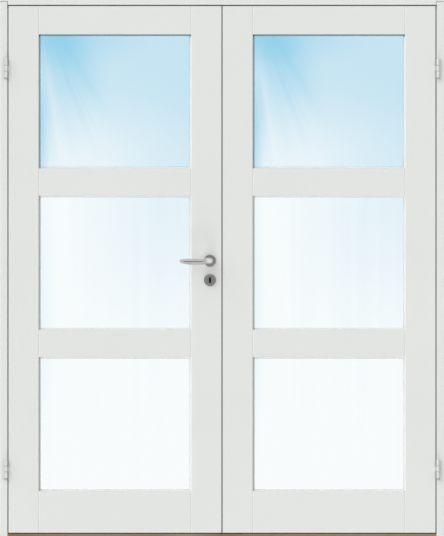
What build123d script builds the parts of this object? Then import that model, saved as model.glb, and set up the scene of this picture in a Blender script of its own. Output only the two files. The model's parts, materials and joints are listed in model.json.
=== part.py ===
from build123d import *
import os

# Pair of glazed interior doors in a painted wooden frame with an oak threshold.
# Millimetres. The origin is on the floor, at mid width and mid depth of the frame.
# X runs across the doorway, Z is up, and -Y is the side that the leaves open to.

os.makedirs("parts", exist_ok=True)

# Leaves
leaf_width = 825.0
leaf_height = 2040.0
leaf_thickness = 40.0
leaf_gap = 3.0
stile_width = 118.0
top_rail_height = 111.0
middle_rail_height = 105.0
bottom_rail_height = 162.0
arris = 0.9
tenon_length = 45.0
tenon_thickness = 12.0
tenon_shoulder = 18.0
mortise_depth_spare = 1.0
glue_clearance = 0.1
pane_names = ("bottom", "middle", "top")

# Glazing
glass_thickness = 4.0
glass_play = 1.5
bead_width = 5.5
bead_bevel_width = 4.5
bead_bevel_depth = 12.0

# Frame
frame_depth = 92.0
frame_face = 29.0
stop_projection = 14.0
seal_space = 4.0
head_lap = 14.5
threshold_height = 15.0
threshold_stop_rise = 10.0
threshold_bevel = 6.0

# Seal
seal_inset = 7.0
seal_width = 8.0
seal_lip = 1.5
seal_stem_width = 2.6
seal_stem_depth = 6.0
seal_groove_play = 0.2
moving_clearance = 0.3
meeting_seal_setback = 5.0
meeting_seal_width = 5.0
meeting_seal_projection = 1.2
meeting_seal_inset = 2.0

# Hinges
hinge_end_distance = 245.0
hinge_offset = 8.0
knuckle_radius = 7.25
knuckle_standoff = 0.5
top_knuckle = 24.4
leaf_knuckle = 23.2
bottom_knuckle = 32.0
knuckle_gap = 0.4
finial_height = 4.5
finial_rounding = 3.4
pin_radius = 4.0
pin_seat_clearance = 0.02
pin_running_clearance = 0.06
pin_floor = 6.0
hinge_plate = 2.0
hinge_plate_reach = 30.0
hinge_arm = 2.6
hinge_screw_spacing = 27.0
hinge_screw_setback = 18.0

# Screws
screw_radius = 2.0
screw_head_radius = 4.0
screw_length = 25.0
short_screw_length = 11.0
screw_clearance = 0.05
screw_cone_angle = 90.0
corner_screw_radius = 2.5
corner_screw_head_radius = 5.0
corner_screw_length = 75.0
corner_screw_depths = (-22.0, 22.0)
foot_screw_depths = (-34.0, -14.0)

# Sleeves for the screws that fix the jambs to a wall
sleeve_radius = 7.0
sleeve_bore_radius = 4.25
sleeve_depth_position = 22.0
sleeve_end_distance = 205.0
sleeves_per_jamb = 4

# Lock in the left leaf
lock_height = 1053.0
backset = 45.0
keyhole_drop = 75.0
latch_rise = 18.0
plate_thickness = 3.0
forend_width = 22.0
forend_height = 235.0
forend_drop = 22.0
forend_screw_inset = 11.0
case_height = 165.0
case_thickness = 15.0
case_depth = 72.0
case_wall = 1.5
case_clearance = 0.25
latch_height = 18.0
latch_thickness = 11.0
latch_length = 30.0
latch_nose = 9.0
latch_travel = 10.0
deadbolt_height = 24.0
deadbolt_thickness = 10.0
deadbolt_length = 34.0
deadbolt_travel = 12.0
bolt_setback = 0.4
latch_arris = 0.5
keyhole_width = 7.6
keyhole_height = 23.0
keyhole_play = 0.4

# Handles
rosette_radius = 24.0
rosette_thickness = 8.0
rosette_rounding = 1.4
keyhole_chamfer = 0.8
spindle_size = 8.0
spindle_clearance = 0.1
spindle_hole_radius = 10.0
socket_depth = 22.0
follower_radius = 9.0
cam_reach = 15.0
cam_width = 6.0
cam_thickness = 8.0
neck_radius = 10.4
neck_gap = 1.0
bend_radius = 14.0
grip_projection = 50.0
grip_drop = 4.6
grip_waist_radius = 9.8
grip_waist_reach = 22.0
grip_belly_radius = 11.0
grip_belly_reach = 46.0
grip_taper_radius = 10.0
grip_taper_reach = 84.0
grip_reach = 118.0
tip_radius = 6.0
grub_screw_radius = 2.5
grub_screw_length = 5.0
grub_screw_distance = 16.0
rosette_bolt_radius = 2.0
rosette_bolt_offset = 18.5
rosette_bolt_seat = 3.0

# Strike plate, its magnet and the flush bolts in the right leaf
strike_width = 22.0
strike_height = 160.0
strike_window_play = 1.0
strike_pocket_spare = 6.0
strike_screw_inset = 9.0
magnet_width = 10.0
magnet_height = 14.0
magnet_air_gap = 3.0
flush_bolt_radius = 5.0
flush_bolt_setback = 20.0
flush_bolt_point = 1.5
flush_bolt_length = 190.0
flush_bolt_travel = 14.0
flush_plate_width = 18.0
flush_plate_height = 150.0
flush_plate_inset = 25.0
thumb_recess = 0.8
thumb_width = 7.0
thumb_height = 12.0
thumb_distance = 118.0
bolt_strike_length = 64.0
bolt_strike_width = 18.0
bolt_strike_plate = 2.0
bolt_strike_screw_spacing = 44.0
bolt_hole_play = 0.8

# Places that follow from the sizes, at rest
front = -frame_depth / 2
back = frame_depth / 2
leaf_back = front + leaf_thickness
leaf_middle = front + leaf_thickness / 2
stop_front = leaf_back + seal_space
rebate_half = leaf_width + 1.5 * leaf_gap
stop_half = rebate_half - stop_projection
outer_half = rebate_half + frame_face
leaf_bottom = threshold_height + leaf_gap
leaf_top = leaf_bottom + leaf_height
head_underside = leaf_top + leaf_gap
frame_top = head_underside + frame_face
jamb_top = frame_top - head_lap
stop_underside = head_underside - stop_projection

pane_count = len(pane_names)
rails_total = top_rail_height + bottom_rail_height + middle_rail_height * (pane_count - 1)
pane_height = (leaf_height - rails_total) / pane_count
pane_width = leaf_width - 2 * stile_width
pane_pitch = pane_height + middle_rail_height
lowest_pane = leaf_bottom + bottom_rail_height
pane_bottoms = {name: lowest_pane + i * pane_pitch for i, name in enumerate(pane_names)}
glass_front = leaf_middle - glass_thickness / 2

rail_spans = {
    "bottom_rail": (leaf_bottom, lowest_pane),
    "lower_middle_rail": (lowest_pane + pane_height, lowest_pane + pane_pitch),
    "upper_middle_rail": (lowest_pane + pane_height + pane_pitch, lowest_pane + 2 * pane_pitch),
    "top_rail": (leaf_top - top_rail_height, leaf_top),
}

hinge_height = bottom_knuckle + leaf_knuckle + top_knuckle
hinge_axis_x = rebate_half - leaf_gap / 2 + hinge_offset
hinge_axis_y = front - knuckle_standoff - knuckle_radius
hinge_centres = {
    "lower": leaf_bottom + hinge_end_distance,
    "upper": leaf_top - hinge_end_distance,
}

lever_z = leaf_bottom + lock_height
key_z = lever_z - keyhole_drop
latch_z = lever_z + latch_rise
lock_z = lever_z - forend_drop
edge_x = leaf_gap / 2
handle_x = -edge_x - backset
grip_y = front - grip_projection
flush_bolt_x = edge_x + flush_bolt_setback
drawn_in_x = -edge_x - bolt_setback
pocket_floor_x = drawn_in_x + deadbolt_travel + strike_pocket_spare
magnet_front_x = drawn_in_x + latch_travel + magnet_air_gap


def facing(y):
    """Upright plane at depth y, seen from the front: its axes are X and Z."""
    return Plane.XZ.offset(-y)


def across(x):
    """Upright plane at x, seen from the right: its axes are Y and Z."""
    return Plane.YZ.offset(x)


def span(first_x, last_x, first_y, last_y, mode=Mode.ADD):
    """Rectangle between two corners of the sketch, given in any order."""
    with Locations(((first_x + last_x) / 2, (first_y + last_y) / 2)):
        Rectangle(abs(last_x - first_x), abs(last_y - first_y), mode=mode)


def upright_slot(centre_x, centre_y, width, height, mode=Mode.ADD):
    """Slot with round ends that stands upright in the sketch."""
    with Locations((centre_x, centre_y)):
        SlotOverall(height, width, rotation=90, mode=mode)


def save(piece, name):
    """Label a finished piece and write its file."""
    piece.part.label = name
    export_step(piece.part, f"parts/{name}.step")


def from_hinge_edge(side, distance):
    """X of a point at a distance inside a leaf's hinge edge; side is -1 left, 1 right."""
    return side * (rebate_half - leaf_gap - distance)


def drill(places, radius, head_radius, length):
    """Clearance for countersunk screws, each place's z axis pointing out of the head."""
    with Locations(*places):
        CounterSinkHole(
            radius + screw_clearance,
            head_radius + screw_clearance,
            depth=length + screw_clearance,
            counter_sink_angle=screw_cone_angle,
        )


def drive(places, radius, head_radius, length):
    """Countersunk screws at the given places."""
    cone = head_radius - radius
    with Locations(*places):
        Cone(radius, head_radius, cone, align=(Align.CENTER, Align.CENTER, Align.MAX))
        with Locations((0, 0, -cone)):
            Cylinder(radius, length - cone, align=(Align.CENTER, Align.CENTER, Align.MAX))


def hinge_foot(name):
    """Height of the foot of one hinge."""
    return hinge_centres[name] - hinge_height / 2


def hinge_screw_places(name, x, outward):
    """Three places down a hinge plate; outward is the way that the heads face along X."""
    y = front + hinge_screw_setback
    middle = hinge_centres[name]
    return [
        Plane(origin=(x, y, middle + step * hinge_screw_spacing), z_dir=(outward, 0, 0))
        for step in (-1, 0, 1)
    ]


def frame_hinge_places(side):
    """Screw places of both hinges' plates on one jamb."""
    places = []
    for name in hinge_centres:
        places += hinge_screw_places(name, side * rebate_half, -side)
    return places


def leaf_hinge_places(side):
    """Screw places of both hinges' plates on one leaf."""
    places = []
    for name in hinge_centres:
        places += hinge_screw_places(name, from_hinge_edge(side, 0), side)
    return places


def corner_screw_places(side):
    """Places of the screws that run down through the head into one jamb."""
    x = side * (rebate_half + frame_face / 2)
    return [Plane(origin=(x, y, frame_top), z_dir=(0, 0, 1)) for y in corner_screw_depths]


def foot_screw_places(side):
    """Places of the screws that run through one jamb into the threshold."""
    z = threshold_height / 2
    return [
        Plane(origin=(side * outer_half, y, z), z_dir=(side, 0, 0)) for y in foot_screw_depths
    ]


def sleeve_places(side):
    """Places of the fixing sleeves, evenly spaced up one jamb's outer face."""
    pitch = (frame_top - 2 * sleeve_end_distance) / (sleeves_per_jamb - 1)
    heights = [sleeve_end_distance + i * pitch for i in range(sleeves_per_jamb)]
    return [
        Plane(origin=(side * outer_half, sleeve_depth_position, z), z_dir=(side, 0, 0))
        for z in heights
    ]


def bolt_strike_places(z, outward):
    """Places of the two screws of a flush bolt's strike."""
    return [
        Plane(origin=(flush_bolt_x + way * bolt_strike_screw_spacing / 2, leaf_middle, z),
              z_dir=(0, 0, outward))
        for way in (-1, 1)
    ]


def edge_plate_places(x, outward, middle, height, inset):
    """Places of the two screws of a plate let into a leaf's meeting edge."""
    return [
        Plane(origin=(x, leaf_middle, middle + way * (height / 2 - inset)), z_dir=(outward, 0, 0))
        for way in (-1, 1)
    ]


def forend_places():
    """Places of the lock forend's screws."""
    return edge_plate_places(-edge_x, 1, lock_z, forend_height, forend_screw_inset)


def strike_places():
    """Places of the strike plate's screws."""
    return edge_plate_places(edge_x, -1, lock_z, strike_height, strike_screw_inset)


def flush_plate_middle(up):
    """Height of a flush bolt plate's middle; up is 1 at the leaf's top, -1 at its foot."""
    leaf_end = leaf_top if up > 0 else leaf_bottom
    return leaf_end - up * (flush_plate_inset + flush_plate_height / 2)


def flush_plate_places(up):
    """Places of one flush bolt plate's screws."""
    middle = flush_plate_middle(up)
    return edge_plate_places(edge_x, -1, middle, flush_plate_height, strike_screw_inset)


def seal_run(outer_inset, inner_inset, bottom):
    """Three-sided band inside the rebate, between two insets from it."""
    outer = rebate_half - outer_inset
    inner = rebate_half - inner_inset
    span(-outer, outer, bottom, head_underside - outer_inset)
    span(-inner, inner, bottom, head_underside - inner_inset, mode=Mode.SUBTRACT)


def cut_seal_groove():
    """Groove in the front of the stop that takes the seal's stem."""
    half = seal_stem_width / 2 + seal_groove_play
    floor = stop_front + seal_stem_depth + seal_groove_play
    with BuildSketch(facing(floor)) as groove:
        seal_run(seal_inset - half, seal_inset + half, 0)
    extrude(groove.sketch, amount=floor - stop_front, mode=Mode.SUBTRACT)


# Jambs

def make_jamb(side):
    """Full-height side of the frame, rebated for the leaf, with its stop in one piece."""
    with BuildPart() as jamb:
        with BuildSketch() as profile:
            span(side * outer_half, side * rebate_half, front, back)
            span(side * rebate_half, side * stop_half, stop_front, back)
            inner_corner = (side * rebate_half, stop_front, 0)
            chamfer(profile.vertices().sort_by_distance(inner_corner)[1:], arris)
        extrude(amount=jamb_top)
        cut_seal_groove()
        for name in hinge_centres:
            with BuildSketch(Plane.XY.offset(hinge_foot(name))):
                span(side * rebate_half, side * (rebate_half + hinge_plate), front,
                     front + hinge_plate_reach)
            extrude(amount=hinge_height, mode=Mode.SUBTRACT)
        drill(frame_hinge_places(side), screw_radius, screw_head_radius, screw_length)
        drill(corner_screw_places(side), corner_screw_radius, corner_screw_head_radius,
              corner_screw_length)
        drill(foot_screw_places(side), corner_screw_radius, corner_screw_head_radius,
              corner_screw_length)
        with Locations(*sleeve_places(side)):
            Hole(sleeve_radius, depth=frame_face + stop_projection)
    return jamb


for side, name in ((-1, "jamb_left"), (1, "jamb_right")):
    save(make_jamb(side), name)

# Head

with BuildPart() as head:
    with BuildSketch(facing(stop_front)):
        span(-outer_half, outer_half, jamb_top, frame_top)
        span(-rebate_half, rebate_half, head_underside, jamb_top)
    extrude(amount=stop_front - front)
    chamfer(head.edges().filter_by(Axis.X).group_by(Axis.Z)[0].sort_by(Axis.Y)[0], arris)
    with BuildSketch(facing(back)):
        span(-outer_half, outer_half, jamb_top, frame_top)
        span(-stop_half, stop_half, stop_underside, jamb_top)
    extrude(amount=back - stop_front)
    chamfer(head.edges().filter_by(Axis.X).group_by(Axis.Z)[0], arris)
    cut_seal_groove()
    with BuildSketch(Plane.XY.offset(head_underside)):
        with Locations((flush_bolt_x, leaf_middle)):
            Rectangle(bolt_strike_length, bolt_strike_width)
    extrude(amount=bolt_strike_plate, mode=Mode.SUBTRACT)
    with BuildSketch(Plane.XY.offset(head_underside)):
        with Locations((flush_bolt_x, leaf_middle)):
            Circle(flush_bolt_radius + bolt_hole_play)
    extrude(amount=flush_bolt_travel, mode=Mode.SUBTRACT)
    drill(bolt_strike_places(head_underside, -1), screw_radius, screw_head_radius,
          short_screw_length)
    for side in (-1, 1):
        drill(corner_screw_places(side), corner_screw_radius, corner_screw_head_radius,
              corner_screw_length)
save(head, "head")

# Threshold

with BuildPart() as threshold:
    with BuildSketch():
        span(-rebate_half, rebate_half, front, stop_front)
        span(-stop_half, stop_half, stop_front, back)
    extrude(amount=threshold_height)
    with BuildSketch(Plane.XY.offset(threshold_height)):
        span(-stop_half, stop_half, stop_front, back)
    extrude(amount=threshold_stop_rise)
    top_edges = threshold.edges().filter_by(Axis.X).group_by(Axis.Z)[-1].sort_by(Axis.Y)
    chamfer(top_edges[-1], threshold_bevel)
    chamfer(threshold.edges().filter_by(Axis.X).group_by(Axis.Z)[-1].sort_by(Axis.Y)[0], arris)
    chamfer(threshold.edges().filter_by(Axis.X).sort_by(Axis.Y)[:2].sort_by(Axis.Z)[-1], arris)
    with BuildSketch(Plane.XY.offset(threshold_height)):
        with Locations((flush_bolt_x, leaf_middle)):
            Rectangle(bolt_strike_length, bolt_strike_width)
    extrude(amount=-bolt_strike_plate, mode=Mode.SUBTRACT)
    with BuildSketch(Plane.XY.offset(threshold_height)):
        with Locations((flush_bolt_x, leaf_middle)):
            Circle(flush_bolt_radius + bolt_hole_play)
    extrude(amount=-(flush_bolt_travel - bolt_hole_play), mode=Mode.SUBTRACT)
    drill(bolt_strike_places(threshold_height, 1), screw_radius, screw_head_radius,
          short_screw_length)
    for side in (-1, 1):
        drill(foot_screw_places(side), corner_screw_radius, corner_screw_head_radius,
              corner_screw_length)
save(threshold, "threshold")

# Seal on three sides of the stop

with BuildPart() as frame_seal:
    half = seal_width / 2
    with BuildSketch(facing(stop_front)):
        seal_run(seal_inset - half, seal_inset + half, threshold_height)
    extrude(amount=seal_space - moving_clearance)
    lips = frame_seal.edges().group_by(Axis.Y)[0]
    chamfer(lips.filter_by(Axis.Z) + lips.filter_by(Axis.X).sort_by(Axis.Z)[-2:], seal_lip)
    with BuildSketch(facing(stop_front + seal_stem_depth)):
        stem_half = seal_stem_width / 2
        seal_run(seal_inset - stem_half, seal_inset + stem_half, threshold_height)
    extrude(amount=seal_stem_depth)
save(frame_seal, "frame_seal")

# Seal between the leaves, in the right leaf's meeting edge

meeting_seal_y = leaf_back - meeting_seal_setback


def draw_meeting_stem(play):
    """Sketch of the meeting seal's stem, seen from above."""
    half = seal_stem_width / 2 + play
    span(edge_x, edge_x + seal_stem_depth + play, meeting_seal_y - half, meeting_seal_y + half)


with BuildPart() as meeting_seal:
    with BuildSketch(Plane.XY.offset(leaf_bottom + meeting_seal_inset)):
        half_width = meeting_seal_width / 2
        span(edge_x - meeting_seal_projection, edge_x, meeting_seal_y - half_width,
             meeting_seal_y + half_width)
        draw_meeting_stem(0)
    extrude(amount=leaf_height - 2 * meeting_seal_inset)
    lip_edges = meeting_seal.edges().filter_by(Axis.Z).group_by(Axis.X)[0]
    fillet(lip_edges, meeting_seal_projection / 2)
save(meeting_seal, "meeting_seal")

# Fixing sleeves, one group

with BuildPart() as fixing_sleeves:
    for side in (-1, 1):
        with Locations(*sleeve_places(side)):
            Cylinder(sleeve_radius, frame_face + stop_projection,
                     align=(Align.CENTER, Align.CENTER, Align.MAX))
            Hole(sleeve_bore_radius, depth=frame_face + stop_projection)
save(fixing_sleeves, "fixing_sleeves")

# Strikes for the flush bolts


def make_bolt_strike(z, outward):
    """Plate with a round hole that the end of a flush bolt enters."""
    with BuildPart() as strike:
        with BuildSketch(Plane.XY.offset(z)):
            with Locations((flush_bolt_x, leaf_middle)):
                Rectangle(bolt_strike_length, bolt_strike_width)
                Circle(flush_bolt_radius + bolt_hole_play, mode=Mode.SUBTRACT)
        extrude(amount=-outward * bolt_strike_plate)
        drill(bolt_strike_places(z, outward), screw_radius, screw_head_radius,
              short_screw_length)
    return strike


save(make_bolt_strike(head_underside, -1), "head_strike")
save(make_bolt_strike(threshold_height, 1), "floor_strike")

# Hinges


def make_frame_hinge(side, name):
    """Plate in the jamb with the bottom and top knuckles of one hinge."""
    foot = hinge_foot(name)
    crest = foot + hinge_height
    plate_face = side * rebate_half
    plate_back = side * (rebate_half + hinge_plate)
    low_knuckle = (foot, foot + bottom_knuckle - knuckle_gap / 2)
    high_knuckle = (crest - top_knuckle + knuckle_gap / 2, crest - finial_height)
    with BuildPart() as hinge:
        for low, high in (low_knuckle, high_knuckle):
            with BuildSketch(Plane.XY.offset(low)):
                with Locations((side * hinge_axis_x, hinge_axis_y)):
                    Circle(knuckle_radius)
            extrude(amount=high - low)
        fillet(hinge.edges().group_by(Axis.Z)[0], finial_rounding)
        for low, high in ((foot + finial_height, low_knuckle[1]), high_knuckle):
            with BuildSketch(Plane.XY.offset(low)):
                span(plate_face, plate_back, hinge_axis_y, front)
            extrude(amount=high - low)
        with BuildSketch(Plane.XY.offset(foot)):
            span(plate_face, plate_back, front, front + hinge_plate_reach)
        extrude(amount=hinge_height)
        with BuildSketch(Plane.XY.offset(foot + pin_floor)):
            with Locations((side * hinge_axis_x, hinge_axis_y)):
                Circle(pin_radius + pin_seat_clearance)
        extrude(amount=hinge_height, mode=Mode.SUBTRACT)
        places = hinge_screw_places(name, plate_face, -side)
        drill(places, screw_radius, screw_head_radius, screw_length)
    return hinge


def make_leaf_hinge(side, name):
    """Plate in the leaf's edge with the middle knuckle of one hinge."""
    foot = hinge_foot(name)
    low = foot + bottom_knuckle + knuckle_gap / 2
    height = leaf_knuckle - knuckle_gap
    plate_face = from_hinge_edge(side, 0)
    plate_back = from_hinge_edge(side, hinge_plate)
    arm_front = hinge_axis_y - hinge_arm / 2
    with BuildPart() as hinge:
        with BuildSketch(Plane.XY.offset(low)):
            with Locations((side * hinge_axis_x, hinge_axis_y)):
                Circle(knuckle_radius)
            span(side * hinge_axis_x, plate_back, arm_front, arm_front + hinge_arm)
            span(plate_face, plate_back, arm_front, front)
        extrude(amount=height)
        with BuildSketch(Plane.XY.offset(foot)):
            span(plate_face, plate_back, front, front + hinge_plate_reach)
        extrude(amount=hinge_height)
        with BuildSketch(Plane.XY.offset(low)):
            with Locations((side * hinge_axis_x, hinge_axis_y)):
                Circle(pin_radius + pin_running_clearance)
        extrude(amount=height, mode=Mode.SUBTRACT)
        places = hinge_screw_places(name, plate_face, side)
        drill(places, screw_radius, screw_head_radius, screw_length)
    return hinge


side_names = {-1: "left", 1: "right"}
for side, side_name in side_names.items():
    for name in hinge_centres:
        save(make_frame_hinge(side, name), f"{side_name}_{name}_hinge_frame_half")
        save(make_leaf_hinge(side, name), f"{side_name}_{name}_hinge_leaf_half")

with BuildPart() as hinge_pins:
    for name in hinge_centres:
        crest = hinge_foot(name) + hinge_height
        pin_foot = hinge_foot(name) + pin_floor + pin_seat_clearance
        for side in side_names:
            with BuildSketch(Plane.XY.offset(pin_foot)):
                with Locations((side * hinge_axis_x, hinge_axis_y)):
                    Circle(pin_radius)
            extrude(amount=crest - finial_height - pin_foot)
            with BuildSketch(Plane.XY.offset(crest - finial_height)):
                with Locations((side * hinge_axis_x, hinge_axis_y)):
                    Circle(knuckle_radius)
            extrude(amount=finial_height)
            dome = hinge_pins.solids().sort_by_distance((side * hinge_axis_x, hinge_axis_y, crest))
            fillet(dome[0].edges().group_by(Axis.Z)[-1], finial_rounding)
save(hinge_pins, "hinge_pins")

# Stiles


def start_stile(side, near):
    """Plain stile whose outer edge lies at a distance inside the leaf's hinge edge."""
    with BuildPart() as stile:
        with BuildSketch(Plane.XY.offset(leaf_bottom)):
            outer_x = from_hinge_edge(side, near)
            inner_x = from_hinge_edge(side, near + stile_width)
            span(outer_x, inner_x, front, leaf_back)
        extrude(amount=leaf_height)
        chamfer(stile.edges().filter_by(Axis.Z), arris)
        chamfer(stile.edges().filter_by(Axis.X), arris)
    return stile


def cut_mortises(x, way):
    """Mortises for the rails' tenons, sunk from x the way given along X."""
    half = tenon_thickness / 2 + glue_clearance
    shoulder = tenon_shoulder - glue_clearance
    depth = tenon_length + mortise_depth_spare
    with BuildSketch(across(x)) as mouths:
        for low, high in rail_spans.values():
            span(leaf_middle - half, leaf_middle + half, low + shoulder, high - shoulder)
    extrude(mouths.sketch, amount=way * depth, mode=Mode.SUBTRACT)


def make_hinge_stile(side):
    """Stile on the hinge side, with the recesses of its two hinge plates."""
    with BuildPart() as stile:
        add(start_stile(side, 0).part)
        cut_mortises(from_hinge_edge(side, stile_width), side)
        for name in hinge_centres:
            with BuildSketch(Plane.XY.offset(hinge_foot(name))):
                plate_back = from_hinge_edge(side, hinge_plate)
                span(from_hinge_edge(side, 0), plate_back, front, front + hinge_plate_reach)
            extrude(amount=hinge_height, mode=Mode.SUBTRACT)
        drill(leaf_hinge_places(side), screw_radius, screw_head_radius, screw_length)
    return stile


for side, side_name in side_names.items():
    save(make_hinge_stile(side), f"{side_name}_hinge_stile")


def cut_edge_plate(side, middle, width, height, thickness):
    """Recess with round ends for a plate in the leaf's meeting edge."""
    with BuildSketch(across(side * edge_x)) as outline:
        upright_slot(leaf_middle, middle, width + 2 * glue_clearance,
                     height + 2 * glue_clearance)
    extrude(outline.sketch, amount=side * thickness, mode=Mode.SUBTRACT)


def draw_rosette_bolts(radius):
    """Sketch of the four bolts that clamp the rosettes."""
    with Locations(*rosette_bolt_points):
        Circle(radius)


rosette_bolt_points = [
    (handle_x - rosette_bolt_offset, lever_z),
    (handle_x + rosette_bolt_offset, lever_z),
    (handle_x, key_z - rosette_bolt_offset),
    (handle_x, key_z + rosette_bolt_offset),
]

with BuildPart() as left_meeting_stile:
    add(start_stile(-1, leaf_width - stile_width).part)
    cut_mortises(from_hinge_edge(-1, leaf_width - stile_width), 1)
    cut_edge_plate(-1, lock_z, forend_width, forend_height, plate_thickness)
    with BuildSketch(across(-edge_x - plate_thickness)):
        half_thickness = case_thickness / 2 + case_clearance
        half_height = case_height / 2 + case_clearance
        span(leaf_middle - half_thickness, leaf_middle + half_thickness,
             lock_z - half_height, lock_z + half_height)
    extrude(amount=-(case_depth + case_clearance), mode=Mode.SUBTRACT)
    with BuildSketch(facing(leaf_back)):
        with Locations((handle_x, lever_z)):
            Circle(spindle_hole_radius)
        upright_slot(handle_x, key_z, keyhole_width + 2 * keyhole_play,
                     keyhole_height + 2 * keyhole_play)
        draw_rosette_bolts(rosette_bolt_radius + screw_clearance)
    extrude(amount=leaf_thickness, mode=Mode.SUBTRACT)
    drill(forend_places(), screw_radius, screw_head_radius, screw_length)
save(left_meeting_stile, "left_meeting_stile")

bolt_windows = {
    "latch": (latch_z, latch_thickness, latch_height),
    "deadbolt": (key_z, deadbolt_thickness, deadbolt_height),
}


def draw_bolt_windows(play):
    """Sketch of the openings for the latch and the deadbolt, seen across the leaf."""
    for middle, thickness, height in bolt_windows.values():
        with Locations((leaf_middle, middle)):
            Rectangle(thickness + 2 * play, height + 2 * play)


def flush_bolt_end(up):
    """Height of the leaf's end that a flush bolt comes out of."""
    return leaf_top if up > 0 else leaf_bottom


def thumb_span(up):
    """Lowest and highest point that a flush bolt's thumb piece reaches on its travel."""
    rest = flush_bolt_end(up) - up * thumb_distance
    ends = (rest, rest + up * flush_bolt_travel)
    return min(ends) - thumb_height / 2, max(ends) + thumb_height / 2


def draw_thumb_slot(up):
    """Sketch of the slot that a flush bolt's thumb piece travels in."""
    low, high = thumb_span(up)
    half = thumb_width / 2 + moving_clearance
    span(leaf_middle - half, leaf_middle + half, low - moving_clearance,
         high + moving_clearance)


with BuildPart() as right_meeting_stile:
    add(start_stile(1, leaf_width - stile_width).part)
    cut_mortises(from_hinge_edge(1, leaf_width - stile_width), -1)
    with BuildSketch(Plane.XY.offset(leaf_bottom)):
        draw_meeting_stem(seal_groove_play)
    extrude(amount=leaf_height, mode=Mode.SUBTRACT)
    cut_edge_plate(1, lock_z, strike_width, strike_height, bolt_strike_plate)
    with BuildSketch(across(edge_x)):
        draw_bolt_windows(strike_window_play)
    extrude(amount=pocket_floor_x - edge_x, mode=Mode.SUBTRACT)
    drill(strike_places(), screw_radius, screw_head_radius, screw_length)
    for up in (-1, 1):
        cut_edge_plate(1, flush_plate_middle(up), flush_plate_width, flush_plate_height,
                       plate_thickness)
        with BuildSketch(across(edge_x)):
            draw_thumb_slot(up)
        extrude(amount=flush_bolt_setback, mode=Mode.SUBTRACT)
        with BuildSketch(Plane.XY.offset(flush_bolt_end(up))):
            with Locations((flush_bolt_x, leaf_middle)):
                Circle(flush_bolt_radius + moving_clearance)
        extrude(amount=-up * (flush_bolt_length + bolt_setback + moving_clearance),
                mode=Mode.SUBTRACT)
        drill(flush_plate_places(up), screw_radius, screw_head_radius, short_screw_length)
save(right_meeting_stile, "right_meeting_stile")

# Rails


def make_rail(side, low, high):
    """Rail between the stiles, with a tenon at each end in one piece."""
    ends = (
        (from_hinge_edge(side, stile_width), side),
        (from_hinge_edge(side, leaf_width - stile_width), -side),
    )
    with BuildPart() as rail:
        with BuildSketch(facing(leaf_back)):
            span(ends[0][0], ends[1][0], low, high)
        extrude(amount=leaf_thickness)
        chamfer(rail.edges().filter_by(Axis.Z), arris)
        chamfer(rail.edges().filter_by(Axis.X), arris)
        for x, way in ends:
            with BuildSketch(across(x)):
                half = tenon_thickness / 2
                span(leaf_middle - half, leaf_middle + half, low + tenon_shoulder,
                     high - tenon_shoulder)
            extrude(amount=way * tenon_length)
    return rail


for side, side_name in side_names.items():
    for name, (low, high) in rail_spans.items():
        save(make_rail(side, low, high), f"{side_name}_{name}")

# Glass and glazing beads


def pane_sides(side):
    """Lowest and highest X of a leaf's panes."""
    xs = (from_hinge_edge(side, stile_width), from_hinge_edge(side, leaf_width - stile_width))
    return min(xs), max(xs)


def make_glass(side, low):
    """Flat pane, a little smaller than its opening."""
    left, right = pane_sides(side)
    with BuildPart() as glass:
        with BuildSketch(facing(glass_front + glass_thickness)):
            span(left + glass_play, right - glass_play, low + glass_play,
                 low + pane_height - glass_play)
        extrude(amount=glass_thickness)
    return glass


bead_depth = glass_front - front


def make_bead(opening):
    """Mitred bead along X: its back on the opening at Y 0, its foot on the glass at Z 0."""
    length = opening - 2 * glue_clearance
    with BuildPart() as bead:
        with BuildSketch(Plane.YZ.offset(-length / 2)):
            Polygon(
                (0, 0),
                (bead_width, 0),
                (bead_width, bead_depth - bead_bevel_depth),
                (bead_width - bead_bevel_width, bead_depth),
                (0, bead_depth),
                align=None,
            )
        extrude(amount=length)
        with BuildSketch():
            Polygon(
                (-length / 2, 0),
                (length / 2, 0),
                (length / 2 - bead_width, bead_width),
                (bead_width - length / 2, bead_width),
                align=None,
            )
        extrude(amount=bead_depth, mode=Mode.INTERSECT)
    return bead


across_bead = make_bead(pane_width)
upright_bead = make_bead(pane_height)


def bead_place(origin, inward, outward):
    """Plane of one bead: its Y points into the pane and its Z towards the leaf's face."""
    into_pane = Vector(inward)
    out_of_leaf = Vector(outward)
    return Plane(origin=origin, x_dir=into_pane.cross(out_of_leaf), z_dir=out_of_leaf)


def make_beads(side):
    """Every bead of one leaf: four round each pane, on the front and on the back."""
    left, right = pane_sides(side)
    middle_x = (left + right) / 2
    faces = ((glass_front, (0, -1, 0)), (glass_front + glass_thickness, (0, 1, 0)))
    with BuildPart() as beads:
        for low in pane_bottoms.values():
            high = low + pane_height
            middle_z = (low + high) / 2
            for y, outward in faces:
                with Locations(
                    bead_place((middle_x, y, low), (0, 0, 1), outward),
                    bead_place((middle_x, y, high), (0, 0, -1), outward),
                ):
                    add(across_bead.part, clean=False)
                with Locations(
                    bead_place((left, y, middle_z), (1, 0, 0), outward),
                    bead_place((right, y, middle_z), (-1, 0, 0), outward),
                ):
                    add(upright_bead.part, clean=False)
    return beads


for side, side_name in side_names.items():
    for name, low in pane_bottoms.items():
        save(make_glass(side, low), f"{side_name}_{name}_glass")
    save(make_beads(side), f"{side_name}_glazing_beads")

# Lock

case_front = -edge_x - plate_thickness
case_back = leaf_middle + case_thickness / 2

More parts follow.
